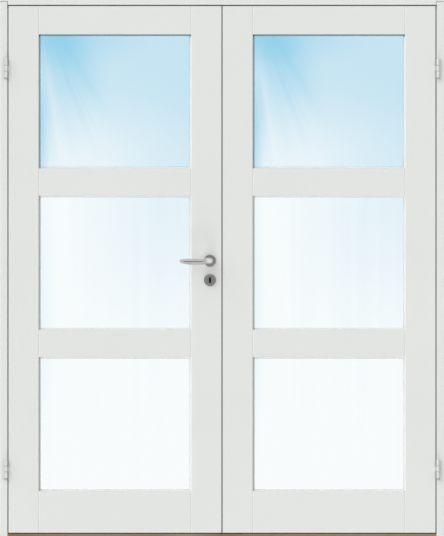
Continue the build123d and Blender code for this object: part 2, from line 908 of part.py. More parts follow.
with BuildPart() as lock_case:
    for inset, mode in ((0, Mode.ADD), (case_wall, Mode.SUBTRACT)):
        with BuildSketch(across(case_front)):
            with Locations((leaf_middle, lock_z)):
                Rectangle(case_thickness - 2 * inset, case_height - 2 * inset)
        extrude(amount=-(case_depth - inset), mode=mode)
    with BuildSketch(facing(case_back)):
        with Locations((handle_x, lever_z)):
            Circle(follower_radius + moving_clearance)
        upright_slot(handle_x, key_z, keyhole_width, keyhole_height)
        draw_rosette_bolts(rosette_bolt_radius + screw_clearance)
    extrude(amount=case_thickness, mode=Mode.SUBTRACT)
save(lock_case, "lock_case")

with BuildPart() as lock_forend:
    with BuildSketch(across(case_front)):
        upright_slot(leaf_middle, lock_z, forend_width, forend_height)
    extrude(amount=plate_thickness)
    with BuildSketch(across(case_front)):
        draw_bolt_windows(moving_clearance)
    extrude(amount=plate_thickness, mode=Mode.SUBTRACT)
    drill(forend_places(), screw_radius, screw_head_radius, screw_length)
save(lock_forend, "lock_forend")

with BuildPart() as latch_bolt:
    with BuildSketch(Plane.XY.offset(latch_z - latch_height / 2)):
        nose_x = drawn_in_x
        tail_x = nose_x - latch_length
        near_y = leaf_middle - latch_thickness / 2
        far_y = leaf_middle + latch_thickness / 2
        Polygon((nose_x, near_y), (nose_x - latch_nose, far_y), (tail_x, far_y),
                (tail_x, near_y), align=None)
    extrude(amount=latch_height)
    chamfer(latch_bolt.edges().filter_by(Axis.Z).sort_by(Axis.X)[-1], latch_arris)
save(latch_bolt, "latch_bolt")

with BuildPart() as deadbolt:
    with BuildSketch(across(drawn_in_x)):
        with Locations((leaf_middle, key_z)):
            Rectangle(deadbolt_thickness, deadbolt_height)
    extrude(amount=-deadbolt_length)
    chamfer(deadbolt.edges().group_by(Axis.X)[-1], arris)
save(deadbolt, "deadbolt")

with BuildPart() as lock_follower:
    with BuildSketch(facing(case_back)):
        with Locations((handle_x, lever_z)):
            Circle(follower_radius)
    extrude(amount=case_thickness)
    with BuildSketch(facing(leaf_middle + cam_thickness / 2)):
        with Locations((handle_x, lever_z)):
            with Locations((0, cam_reach / 2)):
                Rectangle(cam_width, cam_reach)
    extrude(amount=cam_thickness)
    with BuildSketch(facing(case_back)):
        with Locations((handle_x, lever_z)):
            Rectangle(spindle_size + 2 * spindle_clearance, spindle_size + 2 * spindle_clearance)
    extrude(amount=case_thickness, mode=Mode.SUBTRACT)
save(lock_follower, "lock_follower")

# Rosettes on both faces of the left leaf, one group a kind

mirror_plane = facing(leaf_middle)

with BuildPart() as handle_rosettes:
    with BuildSketch(facing(front)):
        with Locations((handle_x, lever_z)):
            Circle(rosette_radius)
    extrude(amount=rosette_thickness)
    fillet(handle_rosettes.edges().group_by(Axis.Y)[0], rosette_rounding)
    with BuildSketch(facing(front)):
        with Locations((handle_x, lever_z)):
            Circle(neck_radius + moving_clearance)
    extrude(amount=rosette_thickness, mode=Mode.SUBTRACT)
    with BuildSketch(facing(front)):
        with Locations(*rosette_bolt_points[:2]):
            Circle(rosette_bolt_radius + screw_clearance)
    extrude(amount=rosette_bolt_seat, mode=Mode.SUBTRACT)
    mirror(about=mirror_plane)
save(handle_rosettes, "handle_rosettes")

with BuildPart() as key_rosettes:
    with BuildSketch(facing(front)):
        with Locations((handle_x, key_z)):
            Circle(rosette_radius)
    extrude(amount=rosette_thickness)
    fillet(key_rosettes.edges().group_by(Axis.Y)[0], rosette_rounding)
    with BuildSketch(facing(front)):
        upright_slot(handle_x, key_z, keyhole_width, keyhole_height)
    extrude(amount=rosette_thickness, mode=Mode.SUBTRACT)
    rim = key_rosettes.faces().sort_by(Axis.Y)[0].inner_wires()[0]
    chamfer(rim.edges(), keyhole_chamfer)
    with BuildSketch(facing(front)):
        with Locations(*rosette_bolt_points[2:]):
            Circle(rosette_bolt_radius + screw_clearance)
    extrude(amount=rosette_bolt_seat, mode=Mode.SUBTRACT)
    mirror(about=mirror_plane)
save(key_rosettes, "key_rosettes")

with BuildPart() as rosette_bolts:
    with BuildSketch(facing(leaf_back + rosette_bolt_seat)):
        draw_rosette_bolts(rosette_bolt_radius)
    extrude(amount=leaf_thickness + 2 * rosette_bolt_seat)
save(rosette_bolts, "rosette_bolts")

# Lever handles

neck_start = front - neck_gap
tip_reach = grip_reach - tip_radius
grip_sections = (
    (bend_radius, 0, neck_radius),
    (grip_waist_reach, grip_drop / 2, grip_waist_radius),
    (grip_belly_reach, grip_drop, grip_belly_radius),
    (grip_taper_reach, grip_drop - (grip_belly_radius - grip_taper_radius), grip_taper_radius),
    (tip_reach, grip_drop - (grip_belly_radius - tip_radius) / 2, tip_radius),
)

with BuildPart() as lever_front:
    with BuildLine(Plane.XY.offset(lever_z)):
        neck = Line((handle_x, neck_start), (handle_x, grip_y + bend_radius))
        JernArc(neck @ 1, neck % 1, bend_radius, -90)
    with BuildSketch(facing(neck_start)):
        with Locations((handle_x, lever_z)):
            Circle(neck_radius)
    sweep()
    for reach, drop, radius in grip_sections:
        with BuildSketch(across(handle_x - reach)):
            with Locations((grip_y, lever_z - drop)):
                Circle(radius)
    loft()
    tip_drop = grip_sections[-1][1]
    with BuildSketch(facing(grip_y)):
        with Locations((handle_x - tip_reach, lever_z - tip_drop)):
            Circle(tip_radius)
            Rectangle(2 * tip_radius, 2 * tip_radius, align=(Align.MIN, Align.CENTER),
                      mode=Mode.SUBTRACT)
            Rectangle(2 * tip_radius, 2 * tip_radius, align=(Align.CENTER, Align.MAX),
                      mode=Mode.SUBTRACT)
    revolve(axis=Axis((handle_x, grip_y, lever_z - tip_drop), (1, 0, 0)))
    with BuildSketch(facing(neck_start)):
        with Locations((handle_x, lever_z)):
            Rectangle(spindle_size + 2 * spindle_clearance, spindle_size + 2 * spindle_clearance)
    extrude(amount=socket_depth, mode=Mode.SUBTRACT)
    with Locations(Plane(origin=(handle_x, front - grub_screw_distance, lever_z - neck_radius),
                         z_dir=(0, 0, -1))):
        Hole(grub_screw_radius + screw_clearance, depth=neck_radius)
save(lever_front, "lever_front")

with BuildPart() as lever_back:
    mirror(lever_front.part, about=mirror_plane)
save(lever_back, "lever_back")

with BuildPart() as spindle:
    spindle_front = neck_start - socket_depth + mortise_depth_spare
    with BuildSketch(facing(2 * leaf_middle - spindle_front)):
        with Locations((handle_x, lever_z)):
            Rectangle(spindle_size, spindle_size)
    extrude(amount=2 * (leaf_middle - spindle_front))
save(spindle, "spindle")

with BuildPart() as lever_grub_screws:
    with BuildSketch(Plane.XY.offset(lever_z - spindle_size / 2)):
        with Locations((handle_x, front - grub_screw_distance)):
            Circle(grub_screw_radius)
    extrude(amount=-grub_screw_length)
    mirror(about=mirror_plane)
save(lever_grub_screws, "lever_grub_screws")

# Strike plate, magnet and flush bolts of the right leaf

with BuildPart() as strike_plate:
    with BuildSketch(across(edge_x)):
        upright_slot(leaf_middle, lock_z, strike_width, strike_height)
    extrude(amount=bolt_strike_plate)
    with BuildSketch(across(edge_x)):
        draw_bolt_windows(strike_window_play)
    extrude(amount=bolt_strike_plate, mode=Mode.SUBTRACT)
    drill(strike_places(), screw_radius, screw_head_radius, screw_length)
save(strike_plate, "strike_plate")

with BuildPart() as strike_magnet:
    with BuildSketch(across(magnet_front_x)):
        with Locations((leaf_middle, latch_z)):
            Rectangle(magnet_width, magnet_height)
    extrude(amount=pocket_floor_x - magnet_front_x)
save(strike_magnet, "strike_magnet")


def make_flush_plate(up):
    """Face plate over a flush bolt, slotted for its thumb piece."""
    with BuildPart() as plate:
        with BuildSketch(across(edge_x)):
            upright_slot(leaf_middle, flush_plate_middle(up), flush_plate_width,
                         flush_plate_height)
        extrude(amount=plate_thickness)
        with BuildSketch(across(edge_x)):
            draw_thumb_slot(up)
        extrude(amount=plate_thickness, mode=Mode.SUBTRACT)
        drill(flush_plate_places(up), screw_radius, screw_head_radius, short_screw_length)
    return plate


def make_flush_bolt(up):
    """Rod in the meeting stile, moved by its thumb piece; drawn in when at rest."""
    end = flush_bolt_end(up) - up * bolt_setback
    with BuildPart() as bolt:
        with BuildSketch(Plane.XY.offset(end)):
            with Locations((flush_bolt_x, leaf_middle)):
                Circle(flush_bolt_radius)
        extrude(amount=-up * flush_bolt_length)
        tips = bolt.edges().filter_by(GeomType.CIRCLE).sort_by(Axis.Z)
        chamfer(tips[-1] if up > 0 else tips[0], flush_bolt_point)
        with BuildSketch(across(edge_x + thumb_recess)):
            with Locations((leaf_middle, flush_bolt_end(up) - up * thumb_distance)):
                Rectangle(thumb_width, thumb_height)
        extrude(amount=flush_bolt_setback - thumb_recess)
    return bolt


for up, name in ((1, "top"), (-1, "bottom")):
    save(make_flush_plate(up), f"{name}_flush_bolt_plate")
    save(make_flush_bolt(up), f"{name}_flush_bolt")

# Screws, one group for each body and kind

with BuildPart() as frame_screws:
    for side in side_names:
        drive(frame_hinge_places(side), screw_radius, screw_head_radius, screw_length)
    for z, outward in ((head_underside, -1), (threshold_height, 1)):
        drive(bolt_strike_places(z, outward), screw_radius, screw_head_radius,
              short_screw_length)
save(frame_screws, "frame_screws")

with BuildPart() as corner_screws:
    for side in side_names:
        drive(corner_screw_places(side) + foot_screw_places(side), corner_screw_radius,
              corner_screw_head_radius, corner_screw_length)
save(corner_screws, "corner_screws")

with BuildPart() as left_leaf_screws:
    drive(leaf_hinge_places(-1) + forend_places(), screw_radius, screw_head_radius,
          screw_length)
save(left_leaf_screws, "left_leaf_screws")

with BuildPart() as right_leaf_screws:
    drive(leaf_hinge_places(1) + strike_places(), screw_radius, screw_head_radius,
          screw_length)
    for up in (-1, 1):
        drive(flush_plate_places(up), screw_radius, screw_head_radius, short_screw_length)
save(right_leaf_screws, "right_leaf_screws")
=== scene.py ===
import functools
import json
import math

import bmesh
import bpy
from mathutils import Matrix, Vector

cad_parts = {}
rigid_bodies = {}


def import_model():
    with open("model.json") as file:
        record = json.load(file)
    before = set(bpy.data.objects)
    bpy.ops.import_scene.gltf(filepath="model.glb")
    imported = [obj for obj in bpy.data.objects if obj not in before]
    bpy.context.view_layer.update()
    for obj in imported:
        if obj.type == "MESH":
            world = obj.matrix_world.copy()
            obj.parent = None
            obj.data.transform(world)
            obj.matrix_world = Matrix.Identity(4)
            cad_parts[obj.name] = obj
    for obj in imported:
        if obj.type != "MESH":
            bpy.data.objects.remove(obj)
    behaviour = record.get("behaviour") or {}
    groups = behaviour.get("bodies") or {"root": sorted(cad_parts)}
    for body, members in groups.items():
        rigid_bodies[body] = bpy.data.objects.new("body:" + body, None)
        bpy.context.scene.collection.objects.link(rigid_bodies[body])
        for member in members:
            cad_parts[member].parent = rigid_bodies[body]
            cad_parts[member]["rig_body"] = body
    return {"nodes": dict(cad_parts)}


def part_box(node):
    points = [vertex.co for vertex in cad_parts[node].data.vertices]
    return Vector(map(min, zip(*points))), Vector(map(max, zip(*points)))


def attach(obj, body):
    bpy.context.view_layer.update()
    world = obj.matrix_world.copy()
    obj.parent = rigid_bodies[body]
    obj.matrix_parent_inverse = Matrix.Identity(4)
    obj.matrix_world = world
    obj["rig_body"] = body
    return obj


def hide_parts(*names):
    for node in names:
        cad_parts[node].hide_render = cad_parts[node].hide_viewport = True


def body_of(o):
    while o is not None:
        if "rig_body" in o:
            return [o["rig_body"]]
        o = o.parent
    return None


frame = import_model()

bl_info = {
    "name": "Glazed double doors",
    "version": (1, 0, 0),
    "blender": (4, 5, 0),
    "location": "3D View > Sidebar > Doors",
    "description": "Finishes a pair of glazed doors in their frame and sets a studio round them",
    "category": "Object",
}

MM = 0.001
X = Vector((1, 0, 0))
Y = Vector((0, 1, 0))
Z = Vector((0, 0, 1))
SIDES = ("left", "right")
LEVELS = ("bottom", "middle", "top")
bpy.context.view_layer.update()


# Places read from the frame


def middle_of(node):
    """Middle of a CAD node's box."""
    low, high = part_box(node)
    return (low + high) / 2


LEAF_LOW, LEAF_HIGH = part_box("left_hinge_stile")
LEAF_FRONT = LEAF_LOW.y
LEAF_BACK = LEAF_HIGH.y
LEAF_MIDDLE = (LEAF_FRONT + LEAF_BACK) / 2
LEAF_EDGE = -LEAF_LOW.x
GAP = -2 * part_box("left_meeting_stile")[1].x
LEVER_PLACE = Vector((middle_of("spindle").x, LEAF_FRONT, middle_of("spindle").z))
KEY_PLACE = Vector((middle_of("key_rosettes").x, LEAF_FRONT, middle_of("key_rosettes").z))


# Settings

TONE = {"subtype": "COLOR", "size": 3, "min": 0, "max": 1}
SHARE = {"subtype": "FACTOR", "min": 0, "max": 1}


class DoorPaint(bpy.types.PropertyGroup):
    """Paint on the leaves and the frame."""

    colour: bpy.props.FloatVectorProperty(
        name="Colour", description="Colour of the paint", default=(0.770, 0.785, 0.762), **TONE)
    roughness: bpy.props.FloatProperty(
        name="Roughness", description="Roughness of the dry paint", default=0.38, **SHARE)
    spray: bpy.props.FloatProperty(
        name="Spray", description="Strength of the fine ripple left by spraying", default=0.06, **SHARE)
    grain: bpy.props.FloatProperty(
        name="Grain", description="Strength of the wood grain felt through the paint", default=0.05,
        **SHARE)
    # Painted shade and painted highlight on the two sides of the stile and rail seams.
    seam_painted_shade: bpy.props.FloatProperty(
        name="Seam shade", description="Brightness of the seams' left side", default=0.74, **SHARE)
    seam_painted_highlight: bpy.props.FloatProperty(
        name="Seam light", description="Brightness of the seams' right side", min=1, max=1.3,
        default=1.20)
    # Painted shade on the edges of the gaps between the leaves and the frame.
    joint: bpy.props.FloatProperty(
        name="Joint shade", description="Brightness of the edges of the gaps", default=0.10, **SHARE)


class DoorGlass(bpy.types.PropertyGroup):
    """Panes and the sealant round them."""

    # Colours of the blue sky reflection painted into the glass, where it is deepest and where it is
    # clearest.
    deep: bpy.props.FloatVectorProperty(
        name="Deep tint", description="Tint where the glass is bluest", default=(0.27, 0.635, 0.84),
        **TONE)
    clear: bpy.props.FloatVectorProperty(
        name="Clear tint", description="Tint where the glass is clearest",
        default=(0.965, 0.995, 1.0), **TONE)
    ior: bpy.props.FloatProperty(
        name="Index", description="Refractive index of the glass", min=1, max=2, default=1.45)
    sealant_width: bpy.props.FloatProperty(
        name="Sealant width", description="Sealant that shows inside the beads", unit="LENGTH",
        min=0.001, max=0.008, default=0.0015)


class DoorOak(bpy.types.PropertyGroup):
    """Oiled oak of the threshold."""

    light: bpy.props.FloatVectorProperty(
        name="Early wood", description="Colour of the pale wood", default=(0.335, 0.208, 0.088),
        **TONE)
    dark: bpy.props.FloatVectorProperty(
        name="Late wood", description="Colour of the dark lines", default=(0.18, 0.10, 0.038),
        **TONE)
    ring_width: bpy.props.FloatProperty(
        name="Ring width", description="Distance between two growth rings", unit="LENGTH",
        min=0.001, max=0.02, default=0.005)


class DoorMetal(bpy.types.PropertyGroup):
    """Finishes of the metal parts."""

    satin: bpy.props.FloatVectorProperty(
        name="Satin steel", description="Colour of the brushed steel", default=(0.60, 0.59, 0.585),
        **TONE)
    satin_roughness: bpy.props.FloatProperty(
        name="Satin roughness", description="Roughness of the brushed steel", default=0.14, **SHARE)
    hinge: bpy.props.FloatVectorProperty(
        name="Hinge coating", description="Colour of the coated hinges", default=(0.82, 0.83, 0.82),
        **TONE)
    zinc: bpy.props.FloatVectorProperty(
        name="Zinc", description="Colour of the zinc plating", default=(0.52, 0.54, 0.56), **TONE)


class DoorLever(bpy.types.PropertyGroup):
    """Shape of the lever handles."""

    neck_radius: bpy.props.FloatProperty(
        name="Neck radius", description="Radius of the neck and the elbow", unit="LENGTH",
        min=0.006, max=0.012, default=0.0104)
    belly_radius: bpy.props.FloatProperty(
        name="Belly radius", description="Radius of the grip where it is thickest", unit="LENGTH",
        min=0.006, max=0.014, default=0.0117)
    drop: bpy.props.FloatProperty(
        name="Drop", description="How far the grip hangs below the neck's axis", unit="LENGTH",
        min=0, max=0.01, default=0.0038)
    edge: bpy.props.FloatProperty(
        name="Rosette edge", description="Rounding of the rosettes' rims", unit="LENGTH",
        min=0.0002, max=0.003, default=0.0014)


class DoorScrews(bpy.types.PropertyGroup):
    """Recess of the countersunk screws."""

    recess_width: bpy.props.FloatProperty(
        name="Recess width", description="Width across the cross recess", unit="LENGTH",
        min=0.001, max=0.006, default=0.0042)
    recess_depth: bpy.props.FloatProperty(
        name="Recess depth", description="Depth of the cross recess", unit="LENGTH",
        min=0.0005, max=0.003, default=0.0014)
    seed: bpy.props.IntProperty(
        name="Turn seed", description="Seed of the angle that each screw stopped at", default=7)


class DoorStudio(bpy.types.PropertyGroup):
    """Light, floor and camera."""

    key: bpy.props.FloatProperty(
        name="Key light", description="Strength of the soft light from the upper left", min=0,
        max=10, default=1.2)
    fill: bpy.props.FloatProperty(
        name="Back light", description="Strength of the soft light from behind", min=0, max=10,
        default=1.3)
    bounce: bpy.props.FloatProperty(
        name="Low light", description="Strength of the soft light from below", min=0, max=10,
        default=1.15)
    sky: bpy.props.FloatProperty(
        name="Surround", description="Strength of the even light from all round", min=0, max=2,
        default=0.74)
    lens: bpy.props.FloatProperty(
        name="Lens", description="Focal length of the camera in millimetres", min=50, max=1400,
        default=1200)
    frame_height: bpy.props.FloatProperty(
        name="Picture height", description="Height that the picture covers at the doors",
        unit="LENGTH", min=1, max=5, default=2.0736)
    camera_height: bpy.props.FloatProperty(
        name="Camera height", description="Height of the camera above the floor", unit="LENGTH",
        min=0, max=3, default=1.043)


# Node trees


def plug(value, socket):
    """Socket set to a value or linked to another socket."""
    if isinstance(value, bpy.types.NodeSocket):
        socket.id_data.links.new(value, socket)
    else:
        socket.default_value = value


def fill(node, inputs):
    """Node with its inputs set or linked."""
    for name, value in inputs.items():
        plug(value, node.inputs[name])
    return node


def add(tree, kind, inputs=None, **settings):
    """New node with its settings and its inputs."""
    node = tree.nodes.new(kind)
    for name, value in settings.items():
        setattr(node, name, value)
    return fill(node, inputs or {})


def made(tree, kind, inputs=None, **settings):
    """First output of a new node."""
    return add(tree, kind, inputs, **settings).outputs[0]


def calc(operation, *values):
    """One step of arithmetic on sockets and numbers."""
    known = next(value for value in values if isinstance(value, bpy.types.NodeSocket))
    return made(known.id_data, "ShaderNodeMath", dict(enumerate(values)), operation=operation)


times = functools.partial(calc, "MULTIPLY")
minus = functools.partial(calc, "SUBTRACT")
times_plus = functools.partial(calc, "MULTIPLY_ADD")
most = functools.partial(calc, "MAXIMUM")
absolute = functools.partial(calc, "ABSOLUTE")
over = functools.partial(calc, "GREATER_THAN")
under = functools.partial(calc, "LESS_THAN")


def object_place(tree):
    """Object coordinates."""
    return add(tree, "ShaderNodeTexCoord").outputs["Object"]


def split(vector):
    """X, Y and Z of a vector."""
    return add(vector.id_data, "ShaderNodeSeparateXYZ", {"Vector": vector}).outputs[:]


def length_of(vector):
    """Length of a vector."""
    node = add(vector.id_data, "ShaderNodeVectorMath", {0: vector}, operation="LENGTH")
    return node.outputs["Value"]


def mapped(vector, kind="POINT", place=(0, 0, 0), turn=(0, 0, 0), scale=(1, 1, 1)):
    """Coordinates moved, turned and scaled."""
    inputs = {"Vector": vector, "Location": place, "Rotation": turn, "Scale": scale}
    return made(vector.id_data, "ShaderNodeMapping", inputs, vector_type=kind)


def noise(vector, scale, detail=3.0, roughness=0.5):
    """Noise between about 0.3 and 0.7."""
    inputs = {"Vector": vector, "Scale": scale, "Detail": detail, "Roughness": roughness}
    return made(vector.id_data, "ShaderNodeTexNoise", inputs)


def noise_along(value, scale, detail):
    """Noise along one value."""
    inputs = {"W": value, "Scale": scale, "Detail": detail}
    return made(value.id_data, "ShaderNodeTexNoise", inputs, noise_dimensions="1D")


def remap(value, low, high, to_low=0.0, to_high=1.0, smooth=False):
    """Value stretched from one range to another."""
    inputs = {"Value": value, "From Min": low, "From Max": high, "To Min": to_low, "To Max": to_high}
    return made(value.id_data, "ShaderNodeMapRange", inputs,
                interpolation_type="SMOOTHSTEP" if smooth else "LINEAR")


def spread(grain, low, high):
    """A noise's usual range stretched between two values."""
    return remap(grain, 0.3, 0.7, low, high)


def ramp(value, stops):
    """Colours at a few places between 0 and 1."""
    node = add(value.id_data, "ShaderNodeValToRGB", {"Fac": value})
    elements = node.color_ramp.elements
    while len(elements) < len(stops):
        elements.new(1.0)
    for element, (place, colour) in zip(elements, stops):
        element.position = place
        element.color = (*colour, 1.0)
    return node.outputs["Color"]


def shade(colour, grain, low, high):
    """Colour made darker or brighter by a noise, between two factors."""
    inputs = {0: (*colour,), "Scale": spread(grain, low, high)}
    return made(grain.id_data, "ShaderNodeVectorMath", inputs, operation="SCALE")


def spot(vector, place, radii, turn=0.0):
    """Soft round patch across the doors: 1 at its middle, 0 from its rim on."""
    deep = 10.0
    local = mapped(vector, "TEXTURE", (place[0], 0, place[1]), (0, turn, 0),
                   (radii[0], deep, radii[1]))
    node = add(vector.id_data, "ShaderNodeTexGradient", {"Vector": local},
               gradient_type="SPHERICAL")
    return remap(node.outputs["Fac"], 0, 1, smooth=True)


def band(value, low, high, blur):
    """1 between two values and 0 beyond them, with soft ends."""
    away = absolute(minus(value, (low + high) / 2))
    half = (high - low) / 2
    return remap(away, half + blur / 2, half - blur / 2)


def tinted(colour, share, factor):
    """Colour multiplied by a number, or by one for each channel, where the share is 1."""
    if isinstance(factor, float):
        factor = (factor, factor, factor)
    node = add(colour.id_data, "ShaderNodeMix", {"Factor": share, 6: colour, 7: (*factor, 1.0)},
               data_type="RGBA", blend_type="MULTIPLY")
    return node.outputs[2]


def mixed(share, first, second):
    """Two shaders, the second one where the share is 1."""
    return made(share.id_data, "ShaderNodeMixShader", {"Fac": share, 1: first, 2: second})


# Materials

FINE_RELIEF = 0.1 * MM
SPRAY_RELIEF = 0.4 * MM
SPRAY_SCALE = 900.0


def start_material(name):
    """Material, its Principled shader and its object coordinates."""
    material = bpy.data.materials.new(name)
    material.use_nodes = True
    tree = material.node_tree
    return material, tree.nodes["Principled BSDF"], object_place(tree)


def surface(shader, colour, grain, rough, strength, distance=FINE_RELIEF, metallic=0.0, height=None):
    """Colour, roughness between two values that follows a grain, and a relief."""
    bumped = made(shader.id_data, "ShaderNodeBump", {
        "Height": grain if height is None else height, "Strength": strength, "Distance": distance})
    fill(shader, {"Base Color": colour, "Roughness": spread(grain, *rough), "Metallic": metallic,
                  "Normal": bumped})


def show(material, shader):
    """The shader as the material's surface."""
    plug(shader, material.node_tree.nodes["Material Output"].inputs["Surface"])


def painted_joint_shade(place):
    """1 where shade is painted on the eased edges of the gaps between the leaves and the frame."""
    x, y, z = split(place)
    aside = absolute(x)
    arris = 1.1 * MM
    blur = 0.3 * MM
    below_head = under(z, LEAF_HIGH.z + GAP)
    between = under(aside, LEAF_EDGE + GAP)
    joints = 0.0
    for value, low, high, within, share in (
            (aside, -arris, GAP / 2 + arris, below_head, 0.64),
            (aside, LEAF_EDGE - arris, LEAF_EDGE + GAP + arris, below_head, 0.4),
            (z, LEAF_HIGH.z - 1.5 * arris, LEAF_HIGH.z + GAP, between, 1.0),
            (z, 0, LEAF_LOW.z + 0.8 * arris, between, 1.0)):
        line = times(band(value, low, high, blur), within)
        joints = most(joints, times(line, share))
    return times(joints, remap(y, LEAF_FRONT + 5 * MM, LEAF_FRONT + 1.2 * MM))


def frame_joints_painted_shade(place):
    """Painted shade on the fine open joints between the jambs and the head."""
    x, y, z = split(place)
    aside = absolute(x)
    jamb_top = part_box("jamb_left")[1].z
    head_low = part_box("head")[0].z
    step = LEAF_EDGE + GAP
    width = 2.4 * MM
    blur = 0.3 * MM
    level = times(band(z, jamb_top - width, jamb_top, blur), over(aside, step))
    upright = times(band(aside, step - width / 2, step + width / 2, blur),
                    times(over(z, head_low), under(z, jamb_top)))
    return times(most(level, upright), 0.8)


def painted_seam_shading(place):
    """Painted shade on the left sides and painted highlight on the right sides of the fine seams
    between the stiles and the rails.
    """
    x, y, z = split(place)
    width = 2 * MM
    blur = 0.5 * MM
    on_leaf = times(under(z, LEAF_HIGH.z), under(y, LEAF_BACK + 0.5 * MM))
    dark = light = 0.0
    for side in SIDES:
        stiles = [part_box(f"{side}_{stile}_stile") for stile in ("hinge", "meeting")]
        left_stile, right_stile = stiles if side == "left" else reversed(stiles)
        for seam in (left_stile[1].x, right_stile[0].x):
            dark = most(dark, band(x, seam - width, seam, blur))
            light = most(light, band(x, seam, seam + width, blur))
    return times(dark, on_leaf), times(light, on_leaf)


def paint_material(name, along, settings):
    """Sprayed paint over wood whose grain runs along X or Z."""
    material, shader, place = start_material(name)
    stretch = (1.5, 60, 60) if along == "X" else (60, 60, 1.5)
    grain = noise(mapped(place, scale=stretch), 6.0, 4.0, 0.6)
    spray = noise(place, SPRAY_SCALE, 2.0)
    colour = shade(settings.colour, noise(place, 3.0, 2.0), 0.992, 1.008)
    # Painted shade and painted highlight at the seams, and painted shade at the gaps and at the frame's
    # joints.
    dark, light = painted_seam_shading(place)
    for share, factor in ((dark, settings.seam_painted_shade), (light, settings.seam_painted_highlight),
                          (painted_joint_shade(place), settings.joint),
                          (frame_joints_painted_shade(place), settings.joint)):
        colour = tinted(colour, share, factor)
    surface(shader, colour, spray, (settings.roughness - 0.04, settings.roughness + 0.04),
            settings.spray, SPRAY_RELIEF,
            height=times_plus(grain, settings.grain / settings.spray, spray))
    return material


def in_top_pane(side, z):
    """1 above the rail under the top pane."""
    middle, top = [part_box(f"{side}_{level}_glass") for level in ("middle", "top")]
    return over(z, (middle[1].z + top[0].z) / 2)


def bead_material(side, settings):
    """Paint of the beads, with painted highlights on the right and lower bevels, painted shade on the
    left bevels, and darker, bluer painted shade on the top pane's left and top bevels.
    """
    low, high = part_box(f"{side}_top_glass")
    material, shader, place = start_material(f"paint_on_{side}_beads")
    spray = noise(place, SPRAY_SCALE, 2.0)
    x, y, z = split(place)
    is_top = in_top_pane(side, z)
    beside = remap(x, low.x + 5.4 * MM, low.x + 4 * MM)
    above = remap(z, high.z - 9 * MM, high.z - 6 * MM)
    painted_highlight = band(x, high.x - 6 * MM, high.x + 1 * MM, 1 * MM)
    for level in LEVELS:
        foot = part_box(f"{side}_{level}_glass")[0].z
        painted_highlight = most(painted_highlight, band(z, foot - 3 * MM, foot + 6 * MM, 1 * MM))
    colour = shade(settings.colour, spray, 0.99, 1.01)
    # Painted highlight on the right and lower bevels; painted shade on the left bevels, darker and
    # bluer on the top pane's left and top bevels.
    for share, tint in ((painted_highlight, (1.12, 1.13, 1.14)), (beside, (0.61, 0.62, 0.61)),
                        (times(beside, is_top), (0.62, 0.75, 0.84)),
                        (times(above, is_top), (0.225, 0.31, 0.345))):
        colour = tinted(colour, share, tint)
    surface(shader, colour, spray, (settings.roughness, settings.roughness + 0.08),
            settings.spray, SPRAY_RELIEF)
    return material


def oak_material(settings):
    """Oiled oak with its grain along X, pores and a few broad flames, and painted shade where the gap
    under the leaves meets it.
    """
    material, shader, place = start_material("oiled_oak")
    warp = noise(mapped(place, scale=(1.2, 20, 20)), 2.0)
    rings = add(shader.id_data, "ShaderNodeTexWave",
                {"Vector": mapped(place, scale=(0.05, 1, 1)), "Scale": 1 / settings.ring_width / 20,
                 "Distortion": 6.0, "Detail": 3.0, "Detail Scale": 1.2,
                 "Phase Offset": times(warp, 9.0)},
                wave_type="BANDS", bands_direction="DIAGONAL")
    pores = noise(mapped(place, scale=(4, 320, 320)), 5.0, 2.0)
    tone = times_plus(remap(pores, 0.56, 0.66, smooth=True), 0.45, rings.outputs["Fac"])
    colour = ramp(times(tone, 0.72), (
        (0.0, settings.light), (0.55, [0.82 * c for c in settings.light]), (1.0, settings.dark)))
    # Painted shade on the threshold in the gap under the leaves.
    painted_gap_shade = band(split(place)[2], LEAF_LOW.z - 2.8 * MM, LEAF_LOW.z + 2 * MM, 0.2 * MM)
    surface(shader, tinted(colour, painted_gap_shade, 0.14), pores, (0.42, 0.6), 0.25, 0.3 * MM,
            height=times(tone, -1.0))
    return material


def sky_reflection_depth(place, side):
    """How strongly the painted sky reflection colours the glass: deep in the top pane's outer corner,
    nearly clear below.
    """
    low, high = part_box(f"{side}_top_glass")
    width = high.x - low.x
    height = high.z - low.z

    def at(across, up):
        """Place in shares of the top pane's size, from its lower left corner."""
        return low.x + across * width, low.z + up * height

    def patches(depth, spots):
        """Depth with soft patches."""
        for across, up, wide, tall, turn, weight in spots:
            patch = spot(place, at(across, up), (wide * width, tall * height), turn)
            depth = times_plus(patch, weight, depth)
        return depth

    x, y, z = split(place)
    upper = patches(remap(z, low.z, low.z + 0.6 * height, 0.46, 0.56, True), (
        (0.06, 1.04, 0.78, 0.36, 0.0, 0.27),
        (0.20, 0.80, 0.24, 0.52, -0.5, 0.22),
        (-0.02, 0.22, 0.12, 0.62, 0.0, 0.50),
        (0.20, -0.06, 0.55, 0.60, 0.0, -0.13),
        (0.40, 0.10, 0.85, 0.80, 0.0, -0.17),
    ))
    lower = patches(0.0, (
        (0.95, -0.15, 1.00, 1.30, 0.0, 0.24),
        (0.60, -1.00, 1.50, 1.20, 0.0, 0.04),
        (-0.02, -0.90, 0.12, 1.80, 0.0, 0.16),
    ))
    # Painted reflection streaks that fan down from above the top pane, and faint streaks across the
    # lower panes.
    root_x, root_z = at(-0.03, 1.3)
    fan = noise_along(calc("DIVIDE", minus(x, root_x), minus(root_z, z)), 9.0, 1.5)
    fade = spot(place, at(0.15, 0.40), (0.40 * width, 0.70 * height))
    upper = times_plus(times(spread(fan, -1, 1), fade), -0.09, upper)
    streaks = spread(noise_along(x, 14.0, 2.0), -0.02, 0.02)
    both = add(place.id_data, "ShaderNodeMix",
               {"Factor": in_top_pane(side, z), "A": calc("ADD", lower, streaks), "B": upper},
               data_type="FLOAT")
    return both.outputs["Result"]


